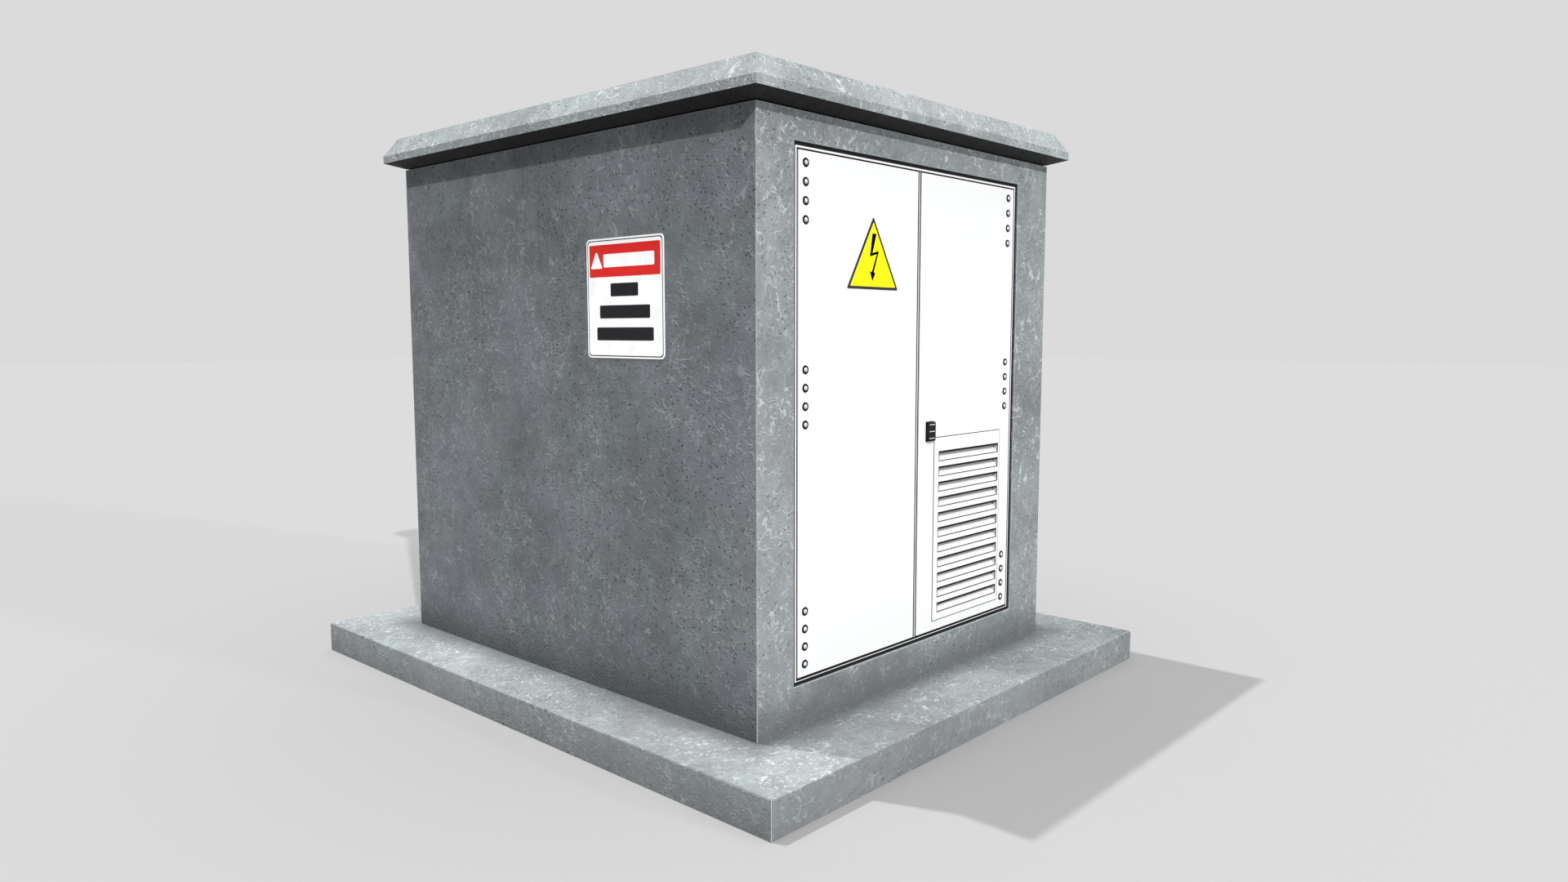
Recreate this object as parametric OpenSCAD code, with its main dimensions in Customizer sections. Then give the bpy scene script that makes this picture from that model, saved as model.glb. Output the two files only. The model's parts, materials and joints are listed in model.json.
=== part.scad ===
// Walk-up concrete housing on a site pad, with a liquid-filled distribution transformer inside.
// Millimetres. The origin is the middle of the pad's underside, the door face looks along -Y
// and +Z is up. Both door leaves are drawn closed, with every latch and bolt drawn back.

/* [Site pad] */
// Pad size across the door face
pad_w = 2656; // [2500:1:2900]
// Pad size from front to back
pad_d = 3126; // [2900:1:3400]
// Pad thickness
pad_h = 143; // [120:1:180]
// Bevel along the pad's top edges
pad_bevel = 7; // [2:1:15]

/* [Housing] */
// Housing size across the door face
house_w = 2033; // [2020:1:2080]
// Housing size from front to back
house_d = 2403; // [2350:1:2500]
// Height of the wall panels
wall_h = 2294; // [2290:1:2330]
// Wall panel thickness
wall_t = 90; // [80:1:95]
// Compressed thickness of the seal between the walls and the roof
roof_seal_h = 6; // [3:1:10]

/* [Roof] */
// How far the eaves reach past the walls
eave = 75; // [50:1:100]
// Rise of the sloping soffit, from the wall out to the drip edge
soffit_rise = 26; // [10:1:40]
// Height of the upright fascia
fascia_h = 34; // [20:1:60]
// Height of the sloping roof edge
slope_h = 85; // [60:1:100]
// How far the sloping roof edge runs in
slope_in = 53; // [30:1:80]

/* [Doorway] */
// Left edge of the door opening
door_x = -815.5; // [-820:0.5:-810]
// Width of the door opening
door_w = 1567; // [1560:0.5:1570]
// Height of the sill above the pad
sill_h = 161; // [150:1:180]
// Height of the door opening
door_h = 2023; // [2010:1:2040]
// How far the frame is set back from the wall face
frame_inset = 9; // [5:1:12]
// Face width of the frame members
frame_w = 25; // [24:1:28]
// Middle of the fixed centre post
mullion_x = -28; // [-40:1:-20]

/* [Door leaves] */
// Depth of a folded leaf
leaf_t = 38; // [36:1:40]
// Sheet thickness
sheet = 2; // [1.5:0.5:3]

/* [Air inlet] */
// Number of slots
slot_n = 11; // [5:1:11]
// Distance from slot to slot
slot_pitch = 67.4; // [66:0.1:67.4]
// Height of one slot
slot_h = 38; // [30:1:42]

/* [Transformer] */
// Tank width
tank_w = 1300; // [1280:1:1320]
// Tank depth
tank_d = 750; // [720:1:760]
// Tank height
tank_h = 1400; // [1390:1:1450]
// Tank plate thickness
tank_t = 6; // [5:1:8]
// Number of cooling fins on the rear of the tank
rear_fin_n = 15; // [9:1:17]
// Number of cooling fins on each side of the tank
side_fin_n = 8; // [5:1:9]

/* [Hidden] */
$fn = 48;
eps = 1;

wall_top = pad_h + wall_h;
seat_z = wall_top + roof_seal_h;
eave_z = seat_z + soffit_rise;
fascia_z = eave_z + fascia_h;
roof_z = fascia_z + slope_h;
pocket_z = roof_z - 78;
face_y = -house_d / 2;
inner_w = house_w - 2 * wall_t;
inner_d = house_d - 2 * wall_t;

sill_z = pad_h + sill_h;
head_z = sill_z + door_h;
door_x1 = door_x + door_w;
frame_y = face_y + frame_inset;
frame_d = 60;
gap_x = 4;
gap_z = 3;
post_half = 8;
leaf_y = frame_y - 2;
leaf_back = leaf_y + leaf_t;
leaf_z0 = sill_z + frame_w + gap_z;
leaf_z1 = head_z - frame_w - gap_z;
left_x0 = door_x + frame_w + gap_x;
left_x1 = mullion_x - post_half - gap_x;
right_x0 = mullion_x + post_half + gap_x;
right_x1 = door_x1 - frame_w - gap_x;
lip = 14;
seal_h = 3;
stop_y = leaf_back + seal_h + 0.5;
stop_t = 3;

pivot_in = 20;
pivot_back = 12;
pivot_y = leaf_y + pivot_back;
left_pivot = left_x0 + pivot_in;
right_pivot = right_x1 - pivot_in;
hinge_zs = [481.5, 1399, 2154];
bolt_steps = [-102.9, -34.3, 34.3, 102.9];
left_bolt_in = 20;
right_bolt_in = 27;
pin_r = 6;
run_gap = 0.06;
knuckle_r = 9;
ear_z = 8;
ear_h = 10;

inlet_x0 = 102.5;
inlet_x1 = 637;
inlet_z0 = 374;
inlet_z1 = 1185;
slot_x0 = 138.5;
slot_x1 = 621;
slot_top = 1121.5;
slot_zs = [for (i = [0 : slot_n - 1]) slot_top - slot_h - i * slot_pitch];
blade_in = 28;

latch_x = 65.25;
latch_z = 1216.25;
latch_size = [58.5, 86.5];
rod_r = 5;
rod_y = leaf_y + 28;
rod_top_z = leaf_z1 - 3;
rod_low_z = leaf_z0 + 3;
shoot_x = -75;
shoot_r = 7;
shoot_len = 300;

tank_y0 = -330;
tank_y1 = tank_y0 + tank_d;
tank_z0 = pad_h + 100;
tank_z1 = tank_z0 + tank_h;
cover_gap = 5;
cover_t = 10;
rim = 40;
core_y = (tank_y0 + tank_y1) / 2;
limb_xs = [-400, 0, 400];
limb = 180;
yoke_z0 = tank_z0 + 60;
limb_z0 = yoke_z0 + limb;
limb_z1 = limb_z0 + 700;
yoke_z1 = limb_z1 + limb;
phase_xs = [-530, -380, -230];
hv_z = 1180;
fuse_z = 1470;
lv_xs = [120, 260, 400, 540];
lv_z = 1250;
gauge_z = 1500;

// ---- shared shapes ----

// A box between two opposite corners
module slab(low, high) {
    translate(low) cube(high - low);
}

// A round bar along Y, from y0 to y1
module bar_y(x, z, r, y0, y1) {
    translate([x, y1, z]) rotate([90, 0, 0]) cylinder(h = y1 - y0, r = r);
}

// A round bar along Z, from z0 to z1
module bar_z(x, y, r, z0, z1) {
    translate([x, y, z0]) cylinder(h = z1 - z0, r = r);
}

// A profile drawn in X and Z, run d long and centred on Y
module along_y(d) {
    translate([0, d / 2, 0]) rotate([90, 0, 0]) linear_extrude(d) children();
}

// A profile drawn in Y and Z, run w long and centred on X
module along_x(w) {
    translate([-w / 2, 0, 0]) rotate([90, 0, 90]) linear_extrude(w) children();
}

// A rectangle with round corners
module round_rect(w, h, r) {
    square([w - 2 * r, h], center = true);
    square([w, h - 2 * r], center = true);
    for (x = [-1, 1], y = [-1, 1])
        translate([x * (w / 2 - r), y * (h / 2 - r)]) circle(r);
}

// ---- concrete ----

function pad_edge(half) = [
    [-half, 0], [half, 0], [half, pad_h - pad_bevel], [half - pad_bevel, pad_h],
    [pad_bevel - half, pad_h], [-half, pad_h - pad_bevel]];

// The cable windows in the pad, one under each compartment
window_xs = [[-660, -180], [120, 600]];
window_ys = [-1010, -740];

module foundation_pad() {
    color([0.70, 0.73, 0.72])
    difference() {
        intersection() {
            along_y(pad_d) polygon(pad_edge(pad_w / 2));
            along_x(pad_w) polygon(pad_edge(pad_d / 2));
        }
        for (x = window_xs)
            slab([x[0], window_ys[0], -eps], [x[1], window_ys[1], pad_h + eps]);
    }
}

// One wall panel with mitred ends, turned about the middle of the housing
module wall_panel(turn, width, depth) {
    rotate([0, 0, turn]) translate([0, -depth / 2, pad_h]) linear_extrude(wall_h)
        polygon([[-width / 2, 0], [width / 2, 0], [width / 2 - wall_t, wall_t],
            [wall_t - width / 2, wall_t]]);
}

module front_wall() {
    color([0.56, 0.58, 0.58])
    difference() {
        wall_panel(0, house_w, house_d);
        slab([door_x, face_y - eps, sill_z], [door_x1, face_y + wall_t + eps, head_z]);
    }
}

module rear_wall() {
    color([0.56, 0.58, 0.58]) wall_panel(180, house_w, house_d);
}

module left_wall() {
    color([0.44, 0.46, 0.47]) wall_panel(-90, house_d, house_w);
}

module right_wall() {
    color([0.56, 0.58, 0.58]) wall_panel(90, house_d, house_w);
}

module roof_seal() {
    color([0.12, 0.12, 0.12])
    translate([0, 0, wall_top]) linear_extrude(roof_seal_h) difference() {
        square([house_w - 50, house_d - 50], center = true);
        square([inner_w + 30, inner_d + 30], center = true);
    }
}

function roof_edge(half) = [
    [-half - eave, eave_z], [-half, seat_z], [half, seat_z], [half + eave, eave_z],
    [half + eave, fascia_z], [half + eave - slope_in, roof_z],
    [slope_in - half - eave, roof_z], [-half - eave, fascia_z]];

socket_span = [1500, 1900];
socket_r = 10;
socket_wall = 6;
socket_len = 70;

// Places each child at the four lifting points
module at_sockets() {
    for (x = [-1, 1], y = [-1, 1])
        translate([x * socket_span[0] / 2, y * socket_span[1] / 2, roof_z - socket_len])
            children();
}

module roof_slab() {
    color([0.72, 0.76, 0.75])
    difference() {
        intersection() {
            along_y(house_d + 2 * eave) polygon(roof_edge(house_w / 2));
            along_x(house_w + 2 * eave) polygon(roof_edge(house_d / 2));
        }
        slab([-inner_w / 2, -inner_d / 2, seat_z - eps], [inner_w / 2, inner_d / 2, pocket_z]);
        at_sockets() cylinder(h = socket_len + eps, r = socket_r + socket_wall);
    }
}

module lifting_sockets() {
    color([0.55, 0.56, 0.57])
    at_sockets() difference() {
        cylinder(h = socket_len, r = socket_r + socket_wall);
        translate([0, 0, 10]) cylinder(h = socket_len, r = socket_r);
    }
}

bracket_zs = [pad_h + 160, wall_top - 300];
bracket_leg = 90;
bracket_t = 8;
bracket_h = 140;

// Angle brackets that tie the wall panels together in each inside corner
module corner_brackets() {
    color([0.60, 0.61, 0.62])
    for (sx = [0, 1], sy = [0, 1], z = bracket_zs)
        mirror([sx, 0, 0]) mirror([0, sy, 0]) translate([-inner_w / 2, -inner_d / 2, z])
            difference() {
                cube([bracket_leg, bracket_leg, bracket_h]);
                translate([bracket_t, bracket_t, -eps])
                    cube([bracket_leg, bracket_leg, bracket_h + 2 * eps]);
            }
}

module anchor_head(r) {
    cylinder(h = 8, r = r, $fn = 6);
}

frame_anchor_zs = [650, 1180, 1850];

// Anchor bolt heads: on the corner brackets, and through the frame's side members
module anchor_bolts() {
    color([0.62, 0.63, 0.64]) {
        for (sx = [0, 1], sy = [0, 1], z = bracket_zs)
            mirror([sx, 0, 0]) mirror([0, sy, 0])
                translate([-inner_w / 2, -inner_d / 2, z + bracket_h / 2]) {
                    translate([bracket_t, 55, 0]) rotate([0, 90, 0]) anchor_head(11);
                    translate([55, bracket_t, 0]) rotate([-90, 0, 0]) anchor_head(11);
                }
        for (z = frame_anchor_zs) {
            translate([door_x + frame_w, frame_y + 50, z]) rotate([0, 90, 0]) anchor_head(8);
            translate([door_x1 - frame_w, frame_y + 50, z]) rotate([0, -90, 0]) anchor_head(8);
        }
    }
}

// ---- door frame and hinges ----

web = 3;

// A rectangular ring in the doorway, so far in from its edges
module frame_ring(from, to, y0, y1) {
    difference() {
        slab([door_x + from, y0, sill_z + from], [door_x1 - from, y1, head_z - from]);
        slab([door_x + to, y0 - eps, sill_z + to], [door_x1 - to, y1 + eps, head_z - to]);
    }
}

// The latch rods and shoot bolts pass through these holes into the frame
module keeper_holes() {
    for (x = [latch_x, shoot_x]) {
        bar_z(x, rod_y, shoot_r + 2, leaf_z1 + gap_z - eps, head_z - web);
        bar_z(x, rod_y, shoot_r + 2, sill_z + web, leaf_z0 - gap_z + eps);
    }
}

module door_frame() {
    color([0.90, 0.91, 0.91])
    difference() {
        union() {
            frame_ring(0, frame_w, frame_y, frame_y + frame_d);
            for (x = [[left_x0 + 70, left_x1], [right_x0, right_x1 - 70]]) {
                slab([x[0], stop_y, head_z - frame_w - lip],
                    [x[1], stop_y + stop_t, head_z - frame_w]);
                slab([x[0], stop_y, sill_z + frame_w],
                    [x[1], stop_y + stop_t, sill_z + frame_w + lip]);
            }
        }
        frame_ring(-eps, frame_w - web, frame_y + web, frame_y + frame_d - web);
        keeper_holes();
    }
}

module centre_post() {
    color([0.90, 0.91, 0.91])
    difference() {
        union() {
            slab([mullion_x - post_half, frame_y, sill_z + frame_w],
                [mullion_x + post_half, stop_y, head_z - frame_w]);
            slab([mullion_x - 22, stop_y, sill_z + frame_w + lip],
                [mullion_x + 22, stop_y + stop_t, head_z - frame_w - lip]);
        }
        slab([mullion_x - post_half + web, frame_y + web, sill_z + frame_w + 20],
            [mullion_x + post_half - web, stop_y + stop_t + eps, head_z - frame_w - 20]);
    }
}

// Places its children at every hinge: local X runs from the pivot into the leaf
module at_hinges(side) {
    for (z = hinge_zs)
        translate([side < 0 ? left_pivot : right_pivot, pivot_y, z])
            mirror([side < 0 ? 0 : 1, 0, 0]) children();
}

swan_reach = 44;
swan_t = 8;
arm_half = 5;
swan_back = 36;
pivot_to_frame = pivot_in + gap_x;

// One cranked hinge ear, seen from above: out of the frame behind the leaf, then back to the pin
module swan_neck() {
    difference() {
        union() {
            circle(knuckle_r);
            translate([0, -arm_half]) square([swan_reach, 2 * arm_half]);
            translate([swan_reach - swan_t - 2, -arm_half])
                square([swan_t + 2, swan_back + swan_t + arm_half]);
            translate([-pivot_to_frame, swan_back])
                square([swan_reach + pivot_to_frame, swan_t]);
        }
        circle(pin_r);
    }
}

module hinge_brackets() {
    color([0.86, 0.87, 0.87])
    for (side = [-1, 1]) at_hinges(side) {
        for (z = [ear_z, -ear_z - ear_h])
            translate([0, 0, z]) linear_extrude(ear_h) swan_neck();
        translate([-pivot_to_frame, swan_back - 2, -30]) cube([3, 14, 60]);
    }
}

module hinge_pins() {
    color([0.66, 0.67, 0.68])
    for (side = [-1, 1]) at_hinges(side) {
        translate([0, 0, -ear_z - ear_h - 2]) cylinder(h = 2 * (ear_z + ear_h) + 2, r = pin_r);
        translate([0, 0, ear_z + ear_h]) cylinder(h = 3, r = pin_r + 2);
    }
}

strap_t = 4;
strap_half_h = 125;
strap_x0 = 12;
strap_x1 = 66;
lug_half = 7.5;

// A strap with its hinge knuckle, fixed to the inside of the leaf
module hinge_strap(bolt_in) {
    difference() {
        union() {
            translate([strap_x0, sheet - pivot_back, -strap_half_h])
                cube([strap_x1 - strap_x0, strap_t, 2 * strap_half_h]);
            translate([0, sheet - pivot_back + strap_t - eps, -lug_half])
                cube([strap_x1 - strap_x0, pivot_back - sheet - strap_t + arm_half,
                    2 * lug_half]);
            translate([0, 0, -lug_half]) cylinder(h = 2 * lug_half, r = knuckle_r);
        }
        translate([0, 0, -lug_half - eps])
            cylinder(h = 2 * (lug_half + eps), r = pin_r + run_gap);
        for (z = bolt_steps)
            bar_y(bolt_in, z, bolt_r + 0.5, -pivot_back - eps, 0);
    }
}

bolt_r = 6;
head_r = 17;
head_h = 8;
dome_r = (head_r * head_r + head_h * head_h) / (2 * head_h);

// A domed coach bolt through leaf and strap, with its nut
module hinge_bolt() {
    rotate([90, 0, 0]) {
        intersection() {
            translate([0, 0, head_h - dome_r]) sphere(dome_r);
            cylinder(h = head_h + eps, r = head_r);
        }
        translate([0, 0, -18]) cylinder(h = 18 + eps, r = bolt_r);
    }
    translate([0, sheet + strap_t, 0]) rotate([-90, 0, 0]) difference() {
        cylinder(h = 8, r = 10.5, $fn = 6);
        translate([0, 0, -eps]) cylinder(h = 8 + 2 * eps, r = bolt_r);
    }
}

module hinge_bolts(side, bolt_in) {
    color([0.85, 0.86, 0.87])
    at_hinges(side) for (z = bolt_steps)
        translate([bolt_in, -pivot_back, z]) hinge_bolt();
}

module left_hinge_straps() {
    color([0.86, 0.87, 0.87]) at_hinges(-1) hinge_strap(left_bolt_in);
}

module right_hinge_straps() {
    color([0.86, 0.87, 0.87]) at_hinges(1) hinge_strap(right_bolt_in);
}

module left_hinge_bolts() {
    hinge_bolts(-1, left_bolt_in);
}

module right_hinge_bolts() {
    hinge_bolts(1, right_bolt_in);
}

// ---- door leaves ----

hinge_clear = 90;

// A folded steel pan, open at the back, with a return flange on all edges but the hinge side
module leaf_pan(x0, x1, hinge_left) {
    clear0 = x0 + (hinge_left ? hinge_clear : lip);
    clear1 = x1 - (hinge_left ? lip : hinge_clear);
    difference() {
        slab([x0, leaf_y, leaf_z0], [x1, leaf_back, leaf_z1]);
        slab([x0 + sheet, leaf_y + sheet, leaf_z0 + sheet],
            [x1 - sheet, leaf_back - sheet, leaf_z1 - sheet]);
        slab([clear0, leaf_y + sheet, leaf_z0 + lip], [clear1, leaf_back + eps, leaf_z1 - lip]);
        slab([hinge_left ? x0 + sheet : x1 - hinge_clear, leaf_y + sheet, leaf_z0 + sheet],
            [hinge_left ? x0 + hinge_clear : x1 - sheet, leaf_back + eps, leaf_z1 - sheet]);
    }
}

// Drills a leaf for its hinge bolts
module bolt_holes(side, bolt_in) {
    at_hinges(side) for (z = bolt_steps)
        bar_y(bolt_in, z, bolt_r + 0.5, -pivot_back - eps, sheet - pivot_back + eps);
}

// Holes in a leaf's top and bottom folds for its rods or bolts
module fold_holes(x) {
    bar_z(x, rod_y, shoot_r + 0.8, leaf_z1 - 2 * sheet, leaf_z1 + eps);
    bar_z(x, rod_y, shoot_r + 0.8, leaf_z0 - eps, leaf_z0 + 2 * sheet);
}

module left_door_pan() {
    color([0.93, 0.94, 0.94])
    difference() {
        leaf_pan(left_x0, left_x1, true);
        bolt_holes(-1, left_bolt_in);
        fold_holes(shoot_x);
    }
}

module right_door_pan() {
    color([0.93, 0.94, 0.94])
    difference() {
        leaf_pan(right_x0, right_x1, false);
        bolt_holes(1, right_bolt_in);
        fold_holes(latch_x);
        slab([inlet_x0 + 25, leaf_y - eps, inlet_z0 + 25],
            [inlet_x1 - 10, leaf_y + sheet + eps, inlet_z1 - 25]);
        bar_y(latch_x, latch_z, 9.5, leaf_y - eps, leaf_y + sheet + eps);
    }
}

rib_d = 22;
rib_h = 60;

// Top-hat ribs welded across the inside of a leaf
module ribs(x0, x1, zs) {
    for (z = zs) difference() {
        slab([x0, leaf_y + sheet, z], [x1, leaf_y + sheet + rib_d, z + rib_h]);
        slab([x0 - eps, leaf_y + sheet - eps, z + sheet],
            [x1 + eps, leaf_y + rib_d, z + rib_h - sheet]);
    }
}

// A welded eye that guides a rod of radius r
module rod_guide(x, z, r) {
    difference() {
        slab([x - r - 6, leaf_y + sheet, z - 5], [x + r + 6, rod_y + r + 4, z + 5]);
        bar_z(x, rod_y, r + run_gap, z - 5 - eps, z + 5 + eps);
    }
}

shoot_guide_zs = [leaf_z1 - 60, leaf_z1 - 250, leaf_z0 + 60, leaf_z0 + 250];

module left_door_ribs() {
    color([0.86, 0.87, 0.87]) {
        ribs(left_x0 + hinge_clear, left_x1 - 70, [600, 1030, 1540, 2020]);
        for (z = shoot_guide_zs) rod_guide(shoot_x, z, shoot_r);
    }
}

rod_guide_zs = [2240, 1760, 1340, 1080, 700, 400];

module right_door_ribs() {
    color([0.86, 0.87, 0.87]) {
        ribs(right_x0 + 110, right_x1 - hinge_clear, [1320, 1680, 2040]);
        for (z = rod_guide_zs) rod_guide(latch_x, z, rod_r);
    }
}

// Soft seal on a leaf's return flanges
module leaf_seal(x0, x1) {
    color([0.10, 0.10, 0.10])
    difference() {
        slab([x0, leaf_back, leaf_z0], [x1, leaf_back + seal_h, leaf_z1]);
        slab([x0 - eps, leaf_back - eps, leaf_z0 + lip - 2],
            [x1 + eps, leaf_back + seal_h + eps, leaf_z1 - lip + 2]);
    }
}

// The upright run of a leaf's seal, along its free edge
module seal_edge(x0) {
    color([0.10, 0.10, 0.10])
    slab([x0, leaf_back, leaf_z0 + lip - 2],
        [x0 + lip - 2, leaf_back + seal_h, leaf_z1 - lip + 2]);
}

module left_door_seal() {
    leaf_seal(left_x0 + hinge_clear, left_x1);
    seal_edge(left_x1 - lip + 2);
}

module right_door_seal() {
    leaf_seal(right_x0, right_x1 - hinge_clear);
    seal_edge(right_x0);
}

hazard_x = -342;
hazard_z = 1810;
hazard_side = 326;
hazard_round = 4;
hazard_t = 2.5;

// Three-cornered hazard plate
module hazard_plate() {
    inset_half = hazard_side / 2 - hazard_round * sqrt(3);
    rise = hazard_side * sqrt(3) / 2;
    color([0.98, 0.90, 0.05])
    translate([hazard_x, leaf_y, hazard_z]) rotate([90, 0, 0]) linear_extrude(hazard_t) hull() {
        for (x = [-inset_half, inset_half]) translate([x, hazard_round]) circle(hazard_round);
        translate([0, rise - 2 * hazard_round]) circle(hazard_round);
    }
}

// A shoot bolt with its thumb knob, which stands behind the leaf
module shoot_bolt(z0, z1, knob_z) {
    color([0.70, 0.71, 0.72]) {
        bar_z(shoot_x, rod_y, shoot_r, z0, z1);
        bar_y(shoot_x, knob_z, 5, rod_y, rod_y + 26);
        bar_y(shoot_x, knob_z, 9, rod_y + 26, rod_y + 38);
    }
}

module left_top_bolt() {
    shoot_bolt(rod_top_z - shoot_len, rod_top_z, rod_top_z - 150);
}

module left_bottom_bolt() {
    shoot_bolt(rod_low_z, rod_low_z + shoot_len, rod_low_z + 150);
}

// ---- air inlet ----

panel_t = 2;

module inlet_panel() {
    color([0.93, 0.94, 0.94])
    difference() {
        slab([inlet_x0, leaf_y - panel_t, inlet_z0], [inlet_x1, leaf_y, inlet_z1]);
        for (z = slot_zs)
            slab([slot_x0, leaf_y - panel_t - eps, z], [slot_x1, leaf_y + eps, z + slot_h]);
    }
}

// Sloping blades, each from its slot's lower edge up and inwards, and their two end strips
module inlet_blades() {
    blade_t = 1.5;
    strip_w = 4;
    color([0.93, 0.94, 0.94]) {
        for (z = slot_zs)
            translate([slot_x0, 0, 0]) rotate([90, 0, 90]) linear_extrude(slot_x1 - slot_x0)
                polygon([[leaf_y + 0.5, z], [leaf_y + 0.5 + blade_t, z],
                    [leaf_y + blade_in + blade_t, z + slot_h - 4],
                    [leaf_y + blade_in, z + slot_h - 4]]);
        for (x = [slot_x0 - strip_w, slot_x1])
            slab([x, leaf_y + sheet + 0.5, inlet_z0 + 30],
                [x + strip_w, leaf_y + blade_in + 2, inlet_z1 - 30]);
    }
}

module insect_screen() {
    screen_y = leaf_y + blade_in + 3;
    color([0.30, 0.31, 0.32])
    slab([slot_x0 - 15, screen_y, inlet_z0 + 30], [slot_x1 + 8, screen_y + 1, inlet_z1 - 30]);
}

// ---- latch ----

plate_t = 4;
handle_gap = 0.6;
handle_t = 10;
spindle_r = 8;
cam_y = stop_y + stop_t + 3;
cam_t = 6;
cam_len = 98;

module latch_plate() {
    color([0.05, 0.05, 0.05])
    difference() {
        translate([latch_x, leaf_y, latch_z]) rotate([90, 0, 0]) linear_extrude(plate_t)
            round_rect(latch_size[0], latch_size[1], 4);
        bar_y(latch_x, latch_z, spindle_r + run_gap, leaf_y - plate_t - eps, leaf_y + eps);
    }
}

// Turning grip, spindle and the cam that reaches behind the centre post
module latch_handle() {
    grip_y = leaf_y - plate_t - handle_gap;
    color([0.06, 0.06, 0.06]) {
        translate([latch_x, grip_y, latch_z]) rotate([90, 0, 0]) linear_extrude(handle_t)
            round_rect(latch_size[0] - 6, latch_size[1] - 6, 5);
        bar_y(latch_x, latch_z, spindle_r, grip_y - eps, cam_y);
        bar_y(latch_x, latch_z, 14, cam_y, cam_y + cam_t);
        slab([latch_x - 11, cam_y, latch_z - cam_len], [latch_x + 11, cam_y + cam_t, latch_z]);
    }
}

module right_top_rod() {
    color([0.70, 0.71, 0.72]) bar_z(latch_x, rod_y, rod_r, latch_z + 24, rod_top_z);
}

module right_bottom_rod() {
    color([0.70, 0.71, 0.72]) bar_z(latch_x, rod_y, rod_r, rod_low_z, latch_z - 24);
}

// ---- side sign ----

sign_y = [-719.5, -244.5];
sign_z = [1537, 2014];
sign_t = 3;

module side_sign() {
    color([0.93, 0.93, 0.93])
    translate([-house_w / 2, (sign_y[0] + sign_y[1]) / 2, (sign_z[0] + sign_z[1]) / 2])
        rotate([90, 0, -90]) linear_extrude(sign_t)
            round_rect(sign_y[1] - sign_y[0], sign_z[1] - sign_z[0], 20);
}

// ---- transformer ----

module compartment_barrier() {
    color([0.45, 0.50, 0.45])
    slab([mullion_x - 1.5, face_y + wall_t + 20, pad_h + 20],
        [mullion_x + 1.5, tank_y0, tank_z1 - 60]);
}

module skid_base() {
    color([0.28, 0.34, 0.30])
    for (x = [-450, 450]) difference() {
        slab([x - 50, tank_y0 - 20, pad_h], [x + 50, tank_y1 + 20, tank_z0]);
        slab([x - 50 + 8, tank_y0 - 20 - eps, pad_h + 8], [x + 60, tank_y1 + 21, tank_z0 - 8]);
    }
}

// Centres of the holes through the tank's front plate: x, z and radius
front_holes = concat([for (x = phase_xs) [x, hv_z, 45]], [for (x = phase_xs) [x, fuse_z, 32]],
    [for (x = lv_xs) [x, lv_z, 30]]);
earth_x = 60;
earth_z = 420;
earth_r = 6;

module transformer_tank() {
    color([0.30, 0.37, 0.32])
    difference() {
        union() {
            slab([-tank_w / 2, tank_y0, tank_z0], [tank_w / 2, tank_y1, tank_z1]);
            slab([-tank_w / 2 - rim, tank_y0 - rim, tank_z1 - 10],
                [tank_w / 2 + rim, tank_y1 + rim, tank_z1]);
            slab([earth_x - 25, tank_y0 - 12, earth_z - 25], [earth_x + 25, tank_y0, earth_z + 25]);
            bar_y(earth_x, earth_z, earth_r, tank_y0 - 52, tank_y0 - 11);
        }
        slab([-tank_w / 2 + tank_t, tank_y0 + tank_t, tank_z0 + tank_t],
            [tank_w / 2 - tank_t, tank_y1 - tank_t, tank_z1 + eps]);
        for (h = front_holes) bar_y(h[0], h[1], h[2], tank_y0 - eps, tank_y0 + tank_t + eps);
    }
}

module cover_gasket() {
    color([0.08, 0.08, 0.08])
    difference() {
        slab([-tank_w / 2 - 12, tank_y0 - 12, tank_z1],
            [tank_w / 2 + 12, tank_y1 + 12, tank_z1 + cover_gap]);
        slab([-tank_w / 2 + tank_t, tank_y0 + tank_t, tank_z1 - eps],
            [tank_w / 2 - tank_t, tank_y1 - tank_t, tank_z1 + cover_gap + eps]);
    }
}

module tank_cover() {
    lug = 60;
    color([0.30, 0.37, 0.32]) {
        slab([-tank_w / 2 - rim, tank_y0 - rim, tank_z1 + cover_gap],
            [tank_w / 2 + rim, tank_y1 + rim, tank_z1 + cover_gap + cover_t]);
        for (x = [-1, 1], y = [tank_y0 + 120, tank_y1 - 120]) difference() {
            slab([x * 520 - 6, y - lug / 2, tank_z1 + cover_gap + cover_t - eps],
                [x * 520 + 6, y + lug / 2, tank_z1 + cover_gap + cover_t + lug]);
            translate([x * 520 - 10, y, tank_z1 + cover_gap + cover_t + lug / 2])
                rotate([0, 90, 0]) cylinder(h = 20, r = 15);
        }
    }
}

// Clamping bolts round the rim: each a head, a nut and a shank outside the gasket
module cover_bolts() {
    nx = 7;
    ny = 4;
    bx = tank_w / 2 + 26;
    by0 = tank_y0 - 26;
    by1 = tank_y1 + 26;
    spots = concat([for (i = [0 : nx - 1], y = [by0, by1]) [-bx + 2 * bx * i / (nx - 1), y]],
        [for (j = [1 : ny], x = [-bx, bx]) [x, by0 + (by1 - by0) * j / (ny + 1)]]);
    color([0.66, 0.67, 0.68])
    for (p = spots) translate([p[0], p[1], 0]) {
        translate([0, 0, tank_z1 + cover_gap + cover_t]) cylinder(h = 8, r = 10, $fn = 6);
        translate([0, 0, tank_z1 - 18]) cylinder(h = 8, r = 10, $fn = 6);
    }
}

fin_z0 = tank_z0 + 120;
fin_z1 = tank_z1 - 120;

module rear_fins() {
    deep = 280;
    color([0.30, 0.37, 0.32])
    for (i = [0 : rear_fin_n - 1]) {
        x = -tank_w / 2 + 60 + i * (tank_w - 120) / (rear_fin_n - 1);
        slab([x - 7, tank_y1, fin_z0], [x + 7, tank_y1 + deep, fin_z1]);
    }
}

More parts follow.
